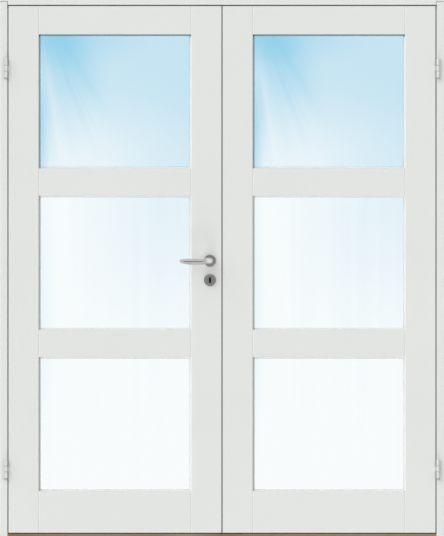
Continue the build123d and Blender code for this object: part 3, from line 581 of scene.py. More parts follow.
def glass_material(side, settings):
    """Clear glass with a painted blue sky reflection in its colour, deepening towards the top of the
    leaf.
    """
    material, shader, place = start_material(f"{side}_pane_glass")
    clear = Vector(settings.clear)
    deep = Vector(settings.deep)
    stops = [(share, tuple(clear.lerp(deep, share))) for share in (0.0, 0.5, 1.0)]
    fill(shader, {"Base Color": ramp(sky_reflection_depth(place, side), stops), "Roughness": 0.0,
                  "IOR": settings.ior, "Transmission Weight": 1.0})
    tree = material.node_tree
    clear_way = made(tree, "ShaderNodeBsdfTransparent", {"Color": (0.94, 0.97, 0.98, 1)})
    shadow = add(tree, "ShaderNodeLightPath").outputs["Is Shadow Ray"]
    show(material, mixed(shadow, shader.outputs["BSDF"], clear_way))
    return material


def coated_material(name, colour, roughness, metallic, fleck=500.0):
    """Coated or plated metal with a fine fleck."""
    material, shader, place = start_material(name)
    flecks = noise(place, fleck, 2.0)
    surface(shader, shade(colour, flecks, 0.98, 1.02), flecks,
            (roughness - 0.05, roughness + 0.05), 0.05, metallic=metallic)
    return material


def hinge_material(settings):
    """Pale coat of the hinges, with painted shade on their outer sides, beside the gap, at the
    knuckles' joints and at their lower ends.
    """
    material = coated_material("hinge_coating", settings.hinge, 0.34, 0.25)
    socket = material.node_tree.nodes["Principled BSDF"].inputs["Base Color"]
    x, y, z = split(object_place(material.node_tree))
    aside = absolute(x)
    proud = under(y, LEAF_FRONT)
    pin_y = middle_of("hinge_pins").y
    seams = 0.0
    for level in ("upper", "lower"):
        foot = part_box(f"left_{level}_hinge_frame_half")[0].z
        turning = frame["nodes"][f"left_{level}_hinge_leaf_half"].data.vertices
        heights = [vertex.co.z for vertex in turning if vertex.co.y < pin_y]
        for low, high in ((min(heights) - 2 * MM, min(heights)),
                          (max(heights) - 2 * MM, max(heights)), (foot - 1 * MM, foot + 7 * MM)):
            seams = most(seams, band(z, low, high, 1 * MM))
    outer = minus(aside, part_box("hinge_pins")[1].x)
    inner = band(aside, LEAF_EDGE - 1 * MM, LEAF_EDGE + GAP + 1 * MM, 1 * MM)
    colour = socket.links[0].from_socket
    # Painted shade on the outer sides, beside the gap in front of the leaf, at the knuckles' joints and
    # at the lower ends.
    for share, factor in ((remap(outer, -9 * MM, 3 * MM, smooth=True), 0.56),
                          (times(inner, proud), 0.60), (times(seams, proud), 0.55)):
        colour = tinted(colour, share, factor)
    plug(colour, socket)
    return material


def brushed_material(name, colour, roughness, along):
    """Metal brushed along X or Z."""
    material, shader, place = start_material(name)
    brush = noise(mapped(place, scale=[0.02 if axis == along else 1.0 for axis in "XYZ"]),
                  2600.0, 2.0)
    surface(shader, shade(colour, noise(place, 40.0), 0.96, 1.04), brush,
            (roughness - 0.05, roughness + 0.07), 0.012, metallic=1.0)
    fill(shader, {"Anisotropic": 0.2})
    return material


def lever_material(settings):
    """Steel brushed along the grip, and on the elbow and the neck rough as if blasted and painted
    brighter as a highlight.
    """
    material = brushed_material("satin_lever", settings.satin, settings.satin_roughness, "X")
    tree = material.node_tree
    place = object_place(tree)
    elbow = remap(split(place)[0], LEVER_PLACE.x - 24 * MM, LEVER_PLACE.x - 6 * MM, smooth=True)
    grain = noise(place, 1500.0, 2.0)
    # Painted highlight: the elbow and the neck get a much brighter base colour, and a rougher surface.
    for name, goal, kind, (first, second, result) in (
            ("Base Color", shade((0.91, 0.91, 0.91), grain, 0.95, 1.0), "RGBA", (6, 7, 2)),
            ("Roughness", spread(grain, 0.60, 0.70), "FLOAT", (2, 3, 0)),
            ("Anisotropic", 0.0, "FLOAT", (2, 3, 0))):
        socket = tree.nodes["Principled BSDF"].inputs[name]
        start = socket.links[0].from_socket if socket.is_linked else socket.default_value
        mix = add(tree, "ShaderNodeMix", {"Factor": elbow, first: start, second: goal},
                  data_type=kind)
        plug(mix.outputs[result], socket)
    return material


def turned_material(name, colour, roughness, centre):
    """Metal brushed in rings round an axis along Y."""
    material, shader, place = start_material(name)
    place = mapped(place, place=(-centre.x, 0, -centre.z))
    flat = made(shader.id_data, "ShaderNodeVectorMath", {0: place, 1: (1, 0, 1)},
                operation="MULTIPLY")
    surface(shader, shade(colour, noise(place, 60.0), 0.96, 1.04),
            noise_along(length_of(flat), 2200.0, 2.0), (roughness - 0.05, roughness + 0.07), 0.05,
            metallic=1.0)
    return material


def seal_material():
    """Pale grey rubber, dull and a little uneven."""
    material, shader, place = start_material("seal_rubber")
    grain = noise(place, 700.0)
    surface(shader, shade((0.50, 0.51, 0.50), grain, 0.92, 1.08), grain, (0.62, 0.78), 0.1)
    return material


def sealant_material():
    """Half-clear glazing sealant."""
    material, shader, place = start_material("glazing_sealant")
    colour = shade((0.88, 0.90, 0.90), noise(place, 120.0, 2.0), 0.97, 1.03)
    fill(shader, {"Base Color": colour, "Roughness": 0.45, "Alpha": 0.3})
    return material


# Pieces


def finish(material, *nodes):
    """Material on CAD nodes that keep their shape."""
    for name in nodes:
        slots = frame["nodes"][name].material_slots
        if not slots:
            frame["nodes"][name].data.materials.append(material)
        for each in slots:
            each.material = material


def seat(piece, body, slot, *nodes):
    """The piece rides on a body and stands for CAD nodes; the slot is not used."""
    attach(piece, body)
    if nodes:
        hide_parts(*nodes)


def placed(name, data):
    """New object in the scene."""
    piece = bpy.data.objects.new(name, data)
    bpy.context.scene.collection.objects.link(piece)
    return piece


def mesh_of(name, form):
    """Mesh of a finished bmesh."""
    mesh = bpy.data.meshes.new(name)
    form.to_mesh(mesh)
    form.free()
    return mesh


def shown_mesh(piece):
    """Plain mesh of what an object's modifiers make."""
    evaluated = piece.evaluated_get(bpy.context.evaluated_depsgraph_get())
    return bpy.data.meshes.new_from_object(evaluated)


def smooth_piece(name, mesh, crease=35.0):
    """Object at the origin that shows a mesh, smooth up to an angle."""
    mesh.polygons.foreach_set("use_smooth", [True] * len(mesh.polygons))
    mesh.set_sharp_from_angle(angle=math.radians(crease))
    return placed(name, mesh)


def piece_from(name, form, material, crease=35.0):
    """Object at the origin from a finished bmesh, smooth apart from its sharp edges."""
    mesh = mesh_of(name, form)
    mesh.materials.append(material)
    return smooth_piece(name, mesh, crease)


def loft(form, rings, closed_path=False):
    """Skin over rings of points, closed by two ends or back to the first ring."""
    loops = [[form.verts.new(point) for point in ring] for ring in rings]
    pairs = list(zip(loops, loops[1:]))
    if closed_path:
        pairs.append((loops[-1], loops[0]))
    for first, second in pairs:
        count = len(first)
        for i in range(count):
            j = (i + 1) % count
            form.faces.new((first[i], first[j], second[j], second[i]))
    if not closed_path:
        form.faces.new(list(reversed(loops[0])))
        form.faces.new(loops[-1])


def extrude(form, outline, low, high, along):
    """Prism over a flat outline, between two heights along an axis."""
    loft(form, [[point + along * height for point in outline] for height in (low, high)])


def turn_out(form):
    """Faces all point outwards."""
    bmesh.ops.remove_doubles(form, verts=form.verts, dist=1e-7)
    bmesh.ops.recalc_face_normals(form, faces=form.faces)


def circle(centre, radius, first, second, count):
    """Points in the plane of two unit vectors, at a radius that may vary with the angle."""
    points = []
    for i in range(count):
        turn = 2 * math.pi * i / count
        reach = radius(turn) if callable(radius) else radius
        points.append(centre + reach * (math.cos(turn) * first + math.sin(turn) * second))
    return points


def quarter_round(radius, count=5):
    """Offsets of a rounded corner: (in from the side, in from the end)."""
    angles = [0.5 * math.pi * i / count for i in range(count + 1)]
    return [(radius * (1 - math.cos(a)), radius * (1 - math.sin(a))) for a in angles]


def merged(node):
    """Copy of a CAD node's mesh, joined up and with its flat faces whole."""
    form = bmesh.new()
    form.from_mesh(frame["nodes"][node].data)
    bmesh.ops.remove_doubles(form, verts=form.verts, dist=1e-6)
    bmesh.ops.dissolve_limit(form, angle_limit=0.01, verts=form.verts, edges=form.edges)
    return form


def ease(material, slot, width, *nodes):
    """Copies of CAD nodes with their edges rounded, each in its node's place."""
    for node in nodes:
        piece = piece_from(f"{node}_eased", merged(node), material, 30.0)
        bevel = piece.modifiers.new("ease", "BEVEL")
        bevel.width = width
        bevel.segments = 2
        bevel.limit_method = "ANGLE"
        bevel.angle_limit = math.radians(30)
        bevel.harden_normals = True
        mesh = shown_mesh(piece)
        piece.modifiers.remove(bevel)
        piece.data = mesh
        seat(piece, body_of(frame["nodes"][node])[0], slot, node)


# Geometry Nodes


def start_tree(name, inputs):
    """Geometry tree with named inputs and one geometry output."""
    tree = bpy.data.node_groups.new(name, "GeometryNodeTree")
    tree.interface.new_socket(name="Geometry", in_out="OUTPUT",
                              socket_type="NodeSocketGeometry")
    for label, kind in inputs:
        tree.interface.new_socket(name=label, in_out="INPUT", socket_type=f"NodeSocket{kind}")
    return tree, tree.nodes.new("NodeGroupInput").outputs


def end_tree(tree, geometry, material):
    """Realised instances with their material as the tree's result."""
    real = made(tree, "GeometryNodeRealizeInstances", {"Geometry": geometry})
    coated = made(tree, "GeometryNodeSetMaterial", {"Geometry": real, "Material": material})
    add(tree, "NodeGroupOutput", {"Geometry": coated})


def grow(name, tree, values, start=None):
    """Plain mesh of what the tree makes, with its inputs set by identifier."""
    carrier = placed(f"{name}_carrier", start or bpy.data.meshes.new(f"{name}_start"))
    modifier = carrier.modifiers.new("shape", "NODES")
    modifier.node_group = tree
    identifiers = {socket.name: socket.identifier for socket in tree.interface.items_tree
                   if socket.in_out == "INPUT"}
    for label, value in values.items():
        modifier[identifiers[label]] = value
    mesh = shown_mesh(carrier)
    carrier.modifiers.remove(modifier)
    bpy.data.objects.remove(carrier)
    form = bmesh.new()
    form.from_mesh(mesh)
    turn_out(form)
    form.to_mesh(mesh)
    form.free()
    return mesh


def pane_border_tree():
    """A moulding with mitred corners, round every pane of a leaf, on both faces."""
    tree, given = start_tree("pane_borders", (
        ("Opening width", "Float"), ("Opening height", "Float"), ("Panes", "Int"),
        ("Pitch", "Float"), ("Face distance", "Float"), ("Place", "Vector"),
        ("Profile", "Object"), ("Material", "Material")))
    border = made(tree, "GeometryNodeCurvePrimitiveQuadrilateral",
                  {"Width": given["Opening width"], "Height": given["Opening height"]},
                  mode="RECTANGLE")
    level = made(tree, "GeometryNodeSetCurveNormal", {"Curve": border}, mode="Z_UP")
    profile = add(tree, "GeometryNodeObjectInfo", {"Object": given["Profile"]})
    ring = made(tree, "GeometryNodeCurveToMesh",
                {"Curve": level, "Profile Curve": profile.outputs["Geometry"]})
    lift = made(tree, "ShaderNodeCombineXYZ", {"Z": given["Face distance"]})
    raised = made(tree, "GeometryNodeTransform", {"Geometry": ring, "Translation": lift})
    upright = made(tree, "GeometryNodeTransform",
                   {"Geometry": raised, "Rotation": (math.pi / 2, 0, 0)})
    rear = made(tree, "GeometryNodeTransform",
                {"Geometry": upright, "Rotation": (0, 0, math.pi)})
    both = add(tree, "GeometryNodeJoinGeometry")
    for half in (upright, rear):
        plug(half, both.inputs["Geometry"])
    step = made(tree, "ShaderNodeCombineXYZ", {"Z": given["Pitch"]})
    places = made(tree, "GeometryNodeMeshLine", {
        "Count": given["Panes"], "Start Location": given["Place"], "Offset": step})
    copies = made(tree, "GeometryNodeInstanceOnPoints",
                  {"Points": places, "Instance": both.outputs["Geometry"]})
    end_tree(tree, copies, given["Material"])
    return tree


def screw_tree():
    """A screw on every point, along the point's own direction and turned at random."""
    tree, given = start_tree("screws", (
        ("Geometry", "Geometry"), ("Screw", "Object"), ("Turn seed", "Int"),
        ("Material", "Material")))
    way = add(tree, "GeometryNodeInputNamedAttribute", {"Name": "outwards"},
              data_type="FLOAT_VECTOR")
    aimed = made(tree, "FunctionNodeAlignRotationToVector",
                 {"Vector": way.outputs["Attribute"]}, axis="Z")
    chance = add(tree, "FunctionNodeRandomValue",
                 {2: 0.0, 3: math.pi, "Seed": given["Turn seed"]}, data_type="FLOAT")
    about = made(tree, "FunctionNodeAxisAngleToRotation",
                 {"Axis": (0, 0, 1), "Angle": chance.outputs[1]})
    turned = made(tree, "FunctionNodeRotateRotation", {"Rotation": aimed, "Rotate By": about},
                  rotation_space="LOCAL")
    screw = add(tree, "GeometryNodeObjectInfo", {"Object": given["Screw"]})
    copies = made(tree, "GeometryNodeInstanceOnPoints", {
        "Points": given["Geometry"], "Instance": screw.outputs["Geometry"], "Rotation": turned})
    end_tree(tree, copies, given["Material"])
    return tree


def profile_curve(name, points, rounding):
    """Closed flat outline with rounded corners, for a moulding's section."""
    corners = [Vector(point) for point in points]
    outline = []
    for i, corner in enumerate(corners):
        before = corners[i - 1] - corner
        after = corners[(i + 1) % len(corners)] - corner
        cut = min(rounding, 0.45 * before.length)
        start = corner + before.normalized() * cut
        end = corner + after.normalized() * cut
        for step in (0.0, 0.25, 0.5, 0.75, 1.0):
            outline.append(start.lerp(corner, step).lerp(corner.lerp(end, step), step))
    curve = bpy.data.curves.new(name, "CURVE")
    curve.dimensions = "2D"
    spline = curve.splines.new("POLY")
    spline.points.add(len(outline) - 1)
    for target, (across, out) in zip(spline.points, outline):
        target.co = (across, out, 0, 1)
    spline.use_cyclic_u = True
    return placed(name, curve)


def mitre_wide(points):
    """Section that runs inwards, widened because a mitre narrows it."""
    return [(-across * math.sqrt(2), out) for across, out in points]


# Operators


class DOORS_OT_paint(bpy.types.Operator):
    """Paint the stiles, the rails, the jambs and the head"""

    bl_idname = "doors.paint"
    bl_label = "Paint the woodwork"

    def execute(self, context):
        settings = context.scene.door_paint
        upright = paint_material("paint_on_uprights", "Z", settings)
        level = paint_material("paint_on_rails", "X", settings)
        for side in SIDES:
            finish(upright, f"{side}_hinge_stile", f"{side}_meeting_stile", f"jamb_{side}")
            for rail in ("bottom", "lower_middle", "upper_middle", "top"):
                finish(level, f"{side}_{rail}_rail")
        finish(level, "head")
        return {"FINISHED"}


class DOORS_OT_threshold(bpy.types.Operator):
    """Give the threshold its oiled oak"""

    bl_idname = "doors.threshold"
    bl_label = "Finish the oak threshold"

    def execute(self, context):
        finish(oak_material(context.scene.door_oak), "threshold")
        return {"FINISHED"}


class DOORS_OT_glaze(bpy.types.Operator):
    """Glaze the six panes"""

    bl_idname = "doors.glaze"
    bl_label = "Glaze the panes"

    def execute(self, context):
        chamfer = 0.4 * MM
        for side in SIDES:
            glass = glass_material(side, context.scene.door_glass)
            for level in LEVELS:
                name = f"{side}_{level}_glass"
                form = merged(name)
                bmesh.ops.bevel(form, geom=form.edges, offset=chamfer, segments=1, affect="EDGES")
                pane = piece_from(f"{side}_{level}_pane", form, glass, 10.0)
                seat(pane, f"{side}_leaf", "glass", name)
        return {"FINISHED"}


class DOORS_OT_beads(bpy.types.Operator):
    """Fit the glazing beads and the sealant round the panes"""

    bl_idname = "doors.beads"
    bl_label = "Fit the glazing beads"

    def execute(self, context):
        width = context.scene.door_glass.sealant_width
        tree = pane_border_tree()
        sealant = sealant_material()
        glass_low, glass_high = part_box("left_bottom_glass")
        bead_depth = glass_low.y - LEAF_FRONT
        bead_width = 5.5 * MM
        bevel_width = 4.5 * MM
        bevel_depth = 12 * MM
        bead = profile_curve("bead_section", mitre_wide((
            (0, 0), (bead_width, 0), (bead_width, bead_depth - bevel_depth),
            (bead_width - bevel_width, bead_depth), (0, bead_depth))), 0.5 * MM)
        strip = profile_curve("sealant_section", mitre_wide((
            (bead_width - width / 4, 0), (bead_width + width, 0),
            (bead_width, width / 3), (bead_width - width / 4, width / 3))), 0.3 * MM)
        for side in SIDES:
            beads_low, beads_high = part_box(f"{side}_glazing_beads")
            low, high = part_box(f"{side}_bottom_glass")
            values = {
                "Opening width": beads_high.x - beads_low.x,
                "Opening height": high.z - low.z + 2 * (low.x - beads_low.x),
                "Panes": len(LEVELS),
                "Pitch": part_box(f"{side}_middle_glass")[0].z - low.z,
                "Face distance": (glass_high.y - glass_low.y) / 2,
                "Place": (low + high) / 2,
            }
            paint = bead_material(side, context.scene.door_paint)
            for name, section, material, slot, nodes in (
                    ("glazing_beads", bead, paint, "paint", (f"{side}_glazing_beads",)),
                    ("glazing_sealant", strip, sealant, "seal", ())):
                mesh = grow(name, tree, {**values, "Profile": section, "Material": material})
                border = smooth_piece(f"{side}_{name}_moulded", mesh, 10.0)
                seat(border, f"{side}_leaf", slot, *nodes)
        for section in (bead, strip):
            bpy.data.objects.remove(section)
        return {"FINISHED"}


class DOORS_OT_levers(bpy.types.Operator):
    """Shape the two lever handles"""

    bl_idname = "doors.levers"
    bl_label = "Shape the levers"

    def execute(self, context):
        steel = lever_material(context.scene.door_metal)
        for name, facing in (("lever_front", -1), ("lever_back", 1)):
            form = bmesh.new()
            loft(form, self.rings(name, facing, context.scene.door_lever))
            turn_out(form)
            piece = piece_from(f"{name}_forged", form, steel, 60.0)
            seat(piece, "lever", "lever_metal", name)
        return {"FINISHED"}

    def rings(self, name, facing, settings):
        """Sections from the neck's foot, round the elbow and along the grip."""
        low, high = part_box(name)
        foot = high.y if facing < 0 else low.y
        leaf_face = LEAF_FRONT if facing < 0 else LEAF_BACK
        projection = 49.8 * MM
        grip_y = leaf_face + facing * projection
        foot_edge = 0.5 * MM
        bend = 14 * MM
        neck_end = grip_y - facing * bend
        neck = settings.neck_radius
        axis = Vector((LEVER_PLACE.x, 0, LEVER_PLACE.z))
        count = 48
        rings = [circle(axis + Y * y, radius, X, Z, count)
                 for y, radius in ((foot, neck - foot_edge), (foot + facing * foot_edge, neck),
                                   (neck_end, neck))]
        steps = 16
        for i in range(1, steps + 1):
            turn = 0.5 * math.pi * i / steps
            centre = axis + X * (-bend * (1 - math.cos(turn)))
            centre = centre + Y * (neck_end + facing * bend * math.sin(turn))
            across = X * math.cos(turn) + Y * (facing * math.sin(turn))
            rings.append(circle(centre, neck, across, Z, count))
        for out, sink, radius in self.grip_sections(settings, LEVER_PLACE.x - low.x):
            centre = axis + Y * grip_y - X * out - Z * sink
            rings.append(circle(centre, radius, Y * facing, Z, count))
        return rings

    def grip_sections(self, settings, reach):
        """Distance from the neck's axis, drop and radius of each section of the grip."""
        neck = settings.neck_radius
        belly = settings.belly_radius
        drop = settings.drop
        stations = [Vector(station) for station in (
            (8 * MM, -0.05 * drop, neck),
            (14 * MM, 0.0, neck),
            (22 * MM, 0.50 * drop, neck - 0.4 * MM),
            (30 * MM, 0.93 * drop, belly - 0.3 * MM),
            (50 * MM, drop, belly),
            (72 * MM, 0.98 * drop, belly - 0.1 * MM),
            (90 * MM, 0.84 * drop, belly - 0.9 * MM),
            (101 * MM, 0.62 * drop, belly - 2.2 * MM),
            (109 * MM, 0.46 * drop, belly - 4.0 * MM),
            (reach - 5 * MM, 0.38 * drop, belly - 5.6 * MM),
            (reach, 0.30 * drop, belly - 8.0 * MM),
        )]
        sections = []
        steps = 8
        for before, first, second, after in zip(stations, stations[1:], stations[2:], stations[3:]):
            for t in (i / steps for i in range(1, steps + 1)):
                bent = first + 0.5 * t * (
                    second - before + t * (2 * before - 5 * first + 4 * second - after
                                           + t * (3 * first - before - 3 * second + after)))
                sections.append(tuple(bent))
        out, sink, radius = sections[-1]
        tip_rise = 0.4 * MM
        tip_radius = 0.2 * MM
        for i in range(1, steps + 1):
            turn = 0.5 * math.pi * i / steps
            sections.append((out + (reach - out) * math.sin(turn), sink - tip_rise * i / steps,
                             max(radius * math.cos(turn), tip_radius)))
        return sections


class DOORS_OT_rosettes(bpy.types.Operator):
    """Turn the rosettes of the handle and of the keyhole"""

    bl_idname = "doors.rosettes"
    bl_label = "Turn the rosettes"

    def execute(self, context):
        metal = context.scene.door_metal
        for name, place, hole in (("handle_rosettes", LEVER_PLACE, self.round_hole),
                                  ("key_rosettes", KEY_PLACE, self.key_hole)):
            steel = turned_material(f"satin_{name}", [1.07 * c for c in metal.satin],
                                    metal.satin_roughness + 0.12, place)
            sections = self.sections(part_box(name), context.scene.door_lever.edge, hole)
            form = bmesh.new()
            for face, out in ((LEAF_FRONT, -1), (LEAF_BACK, 1)):
                loft(form, [circle(Vector((place.x, face + out * depth, place.z)), radius, X, Z, 96)
                            for radius, depth in sections], closed_path=True)
            turn_out(form)
            piece = piece_from(f"{name}_turned", form, steel)
            seat(piece, "left_leaf", "satin_steel", name)
        return {"FINISHED"}

    def sections(self, box, edge, hole):
        """Radius and depth from the back of the rim, over the face and down the hole."""
        low, high = box
        radius = (high.z - low.z) / 2
        thickness = LEAF_FRONT - low.y
        chamfer = 0.8 * MM
        rim = [(radius - inwards, thickness - down) for inwards, down in quarter_round(edge)]
        return [(radius, 0.0), *rim, (radius - 1.3 * edge, thickness),
                (lambda turn: hole(turn) + chamfer, thickness), (hole, thickness - chamfer),
                (hole, 0.0)]

    def round_hole(self, turn):
        """Radius of the hole round the lever's neck."""
        return 10.7 * MM

    def key_hole(self, turn):
        """Distance from the keyhole's middle to its edge, at an angle."""
        half_width = 3.8 * MM
        half_straight = 7.7 * MM
        across = abs(math.cos(turn))
        up = abs(math.sin(turn))
        if up * half_width <= half_straight * across:
            return half_width / across
        return half_straight * up + math.sqrt(half_width ** 2 - (half_straight * across) ** 2)


class DOORS_OT_hinges(bpy.types.Operator):
    """Coat the hinges and their pins and round their edges"""

    bl_idname = "doors.hinges"
    bl_label = "Finish the hinges"

    def execute(self, context):
        coat = hinge_material(context.scene.door_metal)
        halves = [f"{side}_{level}_hinge_{half}_half" for side in SIDES
                  for level in ("upper", "lower") for half in ("frame", "leaf")]
        ease(coat, "hinge_metal", 0.6 * MM, *halves)
        finish(coat, "hinge_pins")
        return {"FINISHED"}


class DOORS_OT_ironmongery(bpy.types.Operator):
    """Finish the lock, the strikes, the flush bolts and the sleeves"""

    bl_idname = "doors.ironmongery"
    bl_label = "Finish the ironmongery"

    def execute(self, context):
        metal = context.scene.door_metal
        roughness = metal.satin_roughness + 0.10
        satin = brushed_material("satin_plates", metal.satin, roughness, "Z")
        level = brushed_material("satin_bolt_strikes", metal.satin, roughness, "X")
        zinc = coated_material("zinc_plating", metal.zinc, 0.34, 1.0, 260.0)
        magnet = coated_material("magnet_coating", (0.08, 0.08, 0.085), 0.4, 0.6)
        ease(satin, "satin_steel", 0.4 * MM, "lock_forend", "strike_plate",
             "top_flush_bolt_plate", "bottom_flush_bolt_plate")
        ease(level, "satin_steel", 0.4 * MM, "head_strike", "floor_strike")
        ease(satin, "satin_steel", 0.5 * MM, "latch_bolt", "deadbolt", "top_flush_bolt",
             "bottom_flush_bolt")
        ease(zinc, "zinc", 0.4 * MM, "lock_case", "lock_follower", "fixing_sleeves")
        finish(zinc, "spindle", "lever_grub_screws", "rosette_bolts")
        finish(magnet, "strike_magnet")
        return {"FINISHED"}


class DOORS_OT_shutter(bpy.types.Operator):
    """Hang the dust shutter behind the keyhole, near-black to stand for the shade inside the lock"""

    bl_idname = "doors.shutter"
    bl_label = "Hang the dust shutter"

    def execute(self, context):
        # The plate is a dust shutter; its near-black coat makes the keyhole show dark, standing for the
        # shade inside the lock.
        steel = coated_material("blackened_steel_keyhole_shade", (0.025, 0.025, 0.026), 0.55, 0.6)
        case_low, case_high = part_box("lock_case")
        wall = 1.5 * MM
        radius = 6 * MM
        half_straight = 10 * MM
        half_thickness = 0.6 * MM
        lift = 2 * MM
        pivot_rise = 11 * MM
        pivot_radius = 1.6 * MM
        centre = Vector((KEY_PLACE.x, 0, KEY_PLACE.z + lift))
        plate = []
        for turn in (math.pi * i / 12 for i in range(24)):
            rise = half_straight if turn < math.pi else -half_straight
            plate.append(centre + X * (radius * math.cos(turn))
                         + Z * (rise + radius * math.sin(turn)))
        pivot = circle(centre + Z * pivot_rise, pivot_radius, X, Z, 24)
        form = bmesh.new()
        extrude(form, plate, LEAF_MIDDLE - half_thickness, LEAF_MIDDLE + half_thickness, Y)
        extrude(form, pivot, case_low.y + wall, case_high.y - wall, Y)
        turn_out(form)
        seat(piece_from("keyhole_shutter", form, steel), "left_leaf", "steel")
        return {"FINISHED"}


class DOORS_OT_screws(bpy.types.Operator):
    """Set the countersunk screws with their cross recesses"""

    bl_idname = "doors.screws"
    bl_label = "Set the screws"

    def execute(self, context):
        settings = context.scene.door_screws
        tree = screw_tree()
        zinc = bpy.data.materials["zinc_plating"]
        for node in ("frame_screws", "left_leaf_screws", "right_leaf_screws", "corner_screws"):
            form = bmesh.new()
            for size, heads in self.sizes(node).items():
                pattern = self.pattern(size, settings)
                start = bpy.data.meshes.new(f"{node}_heads")
                start.from_pydata([head for head, outwards in heads], [], [])
                way = start.attributes.new("outwards", "FLOAT_VECTOR", "POINT")
                for item, (head, outwards) in zip(way.data, heads):
                    item.vector = outwards
                form.from_mesh(grow(node, tree, {"Screw": pattern, "Turn seed": settings.seed,
                                                 "Material": zinc}, start))
                bpy.data.objects.remove(pattern)
            piece = piece_from(f"{node}_recessed", form, zinc)
            seat(piece, body_of(frame["nodes"][node])[0], "zinc", node)
        return {"FINISHED"}

    def sizes(self, node):
        """Heads of a node's screws, grouped by (length, head radius, shank radius)."""
        form = merged(node)
        left = set(form.verts)
        sizes = {}
        while left:
            screw = self.island(left)
            low = Vector([min(v.co[i] for v in screw) for i in range(3)])
            high = Vector([max(v.co[i] for v in screw) for i in range(3)])
            span = high - low
            axis = max(range(3), key=lambda i: span[i])
            middle = (low + high) / 2
            reach = {}
            for end in (low[axis], high[axis]):
                tips = [v.co - middle for v in screw if abs(v.co[axis] - end) < 0.1 * MM]
                reach[end] = max(math.sqrt(t.length_squared - t[axis] ** 2) for t in tips)
            head = middle.copy()
            head[axis] = max(reach, key=reach.get)
            size = (round(span[axis], 4), round(max(reach.values()), 4),
                    round(min(reach.values()), 4))
            sizes.setdefault(size, []).append((head, (head - middle).normalized()))
        form.free()
        return sizes

    def island(self, left):
        """One screw's vertices, taken out of those that are left."""
        found = []
        queue = [left.pop()]
        while queue:
            vertex = queue.pop()
            found.append(vertex)
            for edge in vertex.link_edges:
                other = edge.other_vert(vertex)
                if other in left:
                    left.remove(other)
                    queue.append(other)
        return found

    def pattern(self, size, settings):
        """One screw along Z, its head's face at height 0."""
        length, head, shank = size
        half_slot = 0.13 * settings.recess_width
        reach = min(settings.recess_width / 2, 0.72 * head)

        def cross(turn):
            """Distance from the middle to the recess's edge."""
            aside, along = sorted((abs(math.cos(turn)), abs(math.sin(turn))))
            return min(reach / along, half_slot / max(aside, 1e-6))

        core = 0.75 * shank
        tip = 2 * MM
        pitch = 1.6 * MM
        rim = 0.2 * MM
        depth = settings.recess_depth
        sections = [(0.1 * MM, -length), (core, -length + tip)]
        for i in range(int(0.6 * length / pitch)):
            foot = -length + tip + i * pitch
            sections += [(shank, foot + 0.4 * pitch), (core, foot + pitch)]
        sections += [(shank, shank - head - rim), (head, -rim), (head - 0.5 * rim, -0.2 * rim),
                     (head - rim, 0), (cross, 0), (lambda turn: 0.8 * cross(turn), -0.5 * depth),
                     (0.25 * MM, -depth)]
        form = bmesh.new()
        loft(form, [circle(Z * height, radius, X, Y, 48) for radius, height in sections])
        bmesh.ops.recalc_face_normals(form, faces=form.faces)
        return placed("screw_pattern", mesh_of("screw_pattern", form))


class DOORS_OT_seal(bpy.types.Operator):
    """Give the frame and the meeting edge their rubber seals"""

    bl_idname = "doors.seal"
    bl_label = "Finish the seals"

    def execute(self, context):
        rubber = seal_material()
        finish(rubber, "frame_seal")
        low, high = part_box("meeting_seal")
        outline = [Vector((x * MM, y * MM, 0)) for x, y in (
            (1.5, -13.4), (0.2, -13.3), (-0.7, -12.5), (-1.12, -10.8), (-1.28, -9.0),
            (-1.05, -8.75), (-0.5, -9.8), (0.4, -10.0), (1.5, -9.7), (high.x / MM, -9.7),
            (high.x / MM, -12.3), (1.5, -12.3))]
        form = bmesh.new()
        extrude(form, outline, low.z, high.z, Z)
        turn_out(form)
        seat(piece_from("meeting_seal_lip", form, rubber), "right_leaf", "seal",
             "meeting_seal")
        return {"FINISHED"}


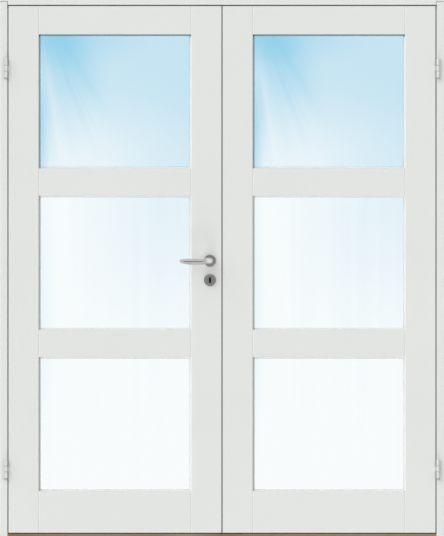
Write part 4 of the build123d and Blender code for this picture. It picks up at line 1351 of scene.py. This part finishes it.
class DOORS_OT_studio(bpy.types.Operator):
    """Set the floor, the light and the camera"""

    bl_idname = "doors.studio"
    bl_label = "Set the studio"

    def execute(self, context):
        settings = context.scene.door_studio
        self.lay_floor()
        self.surround(context.scene, settings)
        self.lamp("key_light", (-0.70, -0.42, 0.58), settings.key, 0.95)
        self.lamp("low_light", (-0.10, -0.30, -0.95), settings.bounce, 0.6)
        self.lamp("back_light", (0.45, 0.75, 0.48), settings.fill, 0.5)
        self.camera(context.scene, settings)
        context.scene.view_settings.view_transform = "Standard"
        return {"FINISHED"}

    def lay_floor(self):
        """Round pale floor that fades out into the white round it."""
        radius = 3.4
        form = bmesh.new()
        bmesh.ops.create_circle(form, cap_ends=True, radius=radius, segments=96)
        material, shader, place = start_material("studio_floor")
        colour = shade((0.80, 0.80, 0.795), noise(place, 60.0), 0.99, 1.01)
        fill(shader, {"Base Color": colour, "Roughness": 0.85})
        solid = remap(length_of(place), radius - 0.2, 1.6, smooth=True)
        path = add(shader.id_data, "ShaderNodeLightPath").outputs
        unseen = most(path["Is Diffuse Ray"], path["Is Shadow Ray"])
        clear = made(shader.id_data, "ShaderNodeBsdfTransparent")
        show(material, mixed(times(solid, minus(1.0, unseen)), clear, shader.outputs["BSDF"]))
        piece_from("floor", form, material)

    def surround(self, scene, settings):
        """White behind the doors, a banded room for gloss and even light for the rest."""
        world = bpy.data.worlds.new("studio")
        world.use_nodes = True
        scene.world = world
        tree = world.node_tree
        tree.nodes.clear()
        path = add(tree, "ShaderNodeLightPath").outputs
        x, y, z = split(add(tree, "ShaderNodeTexCoord").outputs["Generated"])
        dark = times(band(z, -0.24, 0.36, 0.10), remap(absolute(y), 0.84, 0.96, smooth=True))
        greys = ((0.00, 0.40), (0.22, 0.86), (1.00, 0.90))
        ceiling = ramp(remap(z, -1, 1), [(place, (grey, grey, grey)) for place, grey in greys])
        white, gloss, even = [
            made(tree, "ShaderNodeBackground", {"Color": colour, "Strength": strength})
            for colour, strength in (((1, 1, 1, 1), 1.0), (tinted(ceiling, dark, 0.26), 1.0),
                                     ((1, 1, 1, 1), settings.sky))]
        through = times(path["Is Transmission Ray"], under(path["Diffuse Depth"], 0.5))
        seen = most(path["Is Camera Ray"], through)
        rest = mixed(path["Is Glossy Ray"], even, gloss)
        add(tree, "ShaderNodeOutputWorld", {"Surface": mixed(seen, rest, white)})

    def lamp(self, name, direction, strength, softness):
        """Soft light that comes from a direction."""
        data = bpy.data.lights.new(name, "SUN")
        data.energy = strength
        data.angle = softness
        lamp = placed(name, data)
        lamp.location = Vector(direction) * 6
        lamp.rotation_euler = Vector(direction).to_track_quat("Z", "Y").to_euler()
        lamp.visible_glossy = False
        lamp.visible_transmission = False

    def camera(self, scene, settings):
        """Camera square to the doors and far off."""
        data = bpy.data.cameras.new("camera")
        data.lens = settings.lens
        data.sensor_width = 36
        distance = settings.frame_height * settings.lens / data.sensor_width
        data.clip_end = 4 * distance
        camera = placed("camera", data)
        camera.location = (0, LEAF_FRONT - distance, settings.camera_height)
        camera.rotation_euler = (math.pi / 2, 0, 0)
        scene.camera = camera


class DOORS_PT_panel(bpy.types.Panel):
    """Steps that finish the doors, in order, with their settings."""

    bl_label = "Glazed double doors"
    bl_space_type = "VIEW_3D"
    bl_region_type = "UI"
    bl_category = "Doors"

    def draw(self, context):
        for step in STEPS:
            self.layout.operator(step.bl_idname)
        for label, group in GROUPS.items():
            box = self.layout.box()
            settings = getattr(context.scene, label)
            for name in group.__annotations__:
                box.prop(settings, name)


GROUPS = {
    "door_paint": DoorPaint,
    "door_glass": DoorGlass,
    "door_oak": DoorOak,
    "door_metal": DoorMetal,
    "door_lever": DoorLever,
    "door_screws": DoorScrews,
    "door_studio": DoorStudio,
}
STEPS = (
    DOORS_OT_paint,
    DOORS_OT_threshold,
    DOORS_OT_glaze,
    DOORS_OT_beads,
    DOORS_OT_levers,
    DOORS_OT_rosettes,
    DOORS_OT_hinges,
    DOORS_OT_ironmongery,
    DOORS_OT_shutter,
    DOORS_OT_screws,
    DOORS_OT_seal,
    DOORS_OT_studio,
)


def register():
    """Make the settings, the steps and the panel known."""
    for group in (*GROUPS.values(), *STEPS, DOORS_PT_panel):
        bpy.utils.register_class(group)
    for label, group in GROUPS.items():
        setattr(bpy.types.Scene, label, bpy.props.PointerProperty(type=group))


def unregister():
    """Take the settings, the steps and the panel away again."""
    for label in GROUPS:
        delattr(bpy.types.Scene, label)
    for group in (DOORS_PT_panel, *reversed(STEPS), *GROUPS.values()):
        bpy.utils.unregister_class(group)


def main():
    """Finish the doors step by step."""
    register()
    for step in STEPS:
        folder, name = step.bl_idname.split(".")
        getattr(getattr(bpy.ops, folder), name)()


if __name__ == "__main__":
    main()
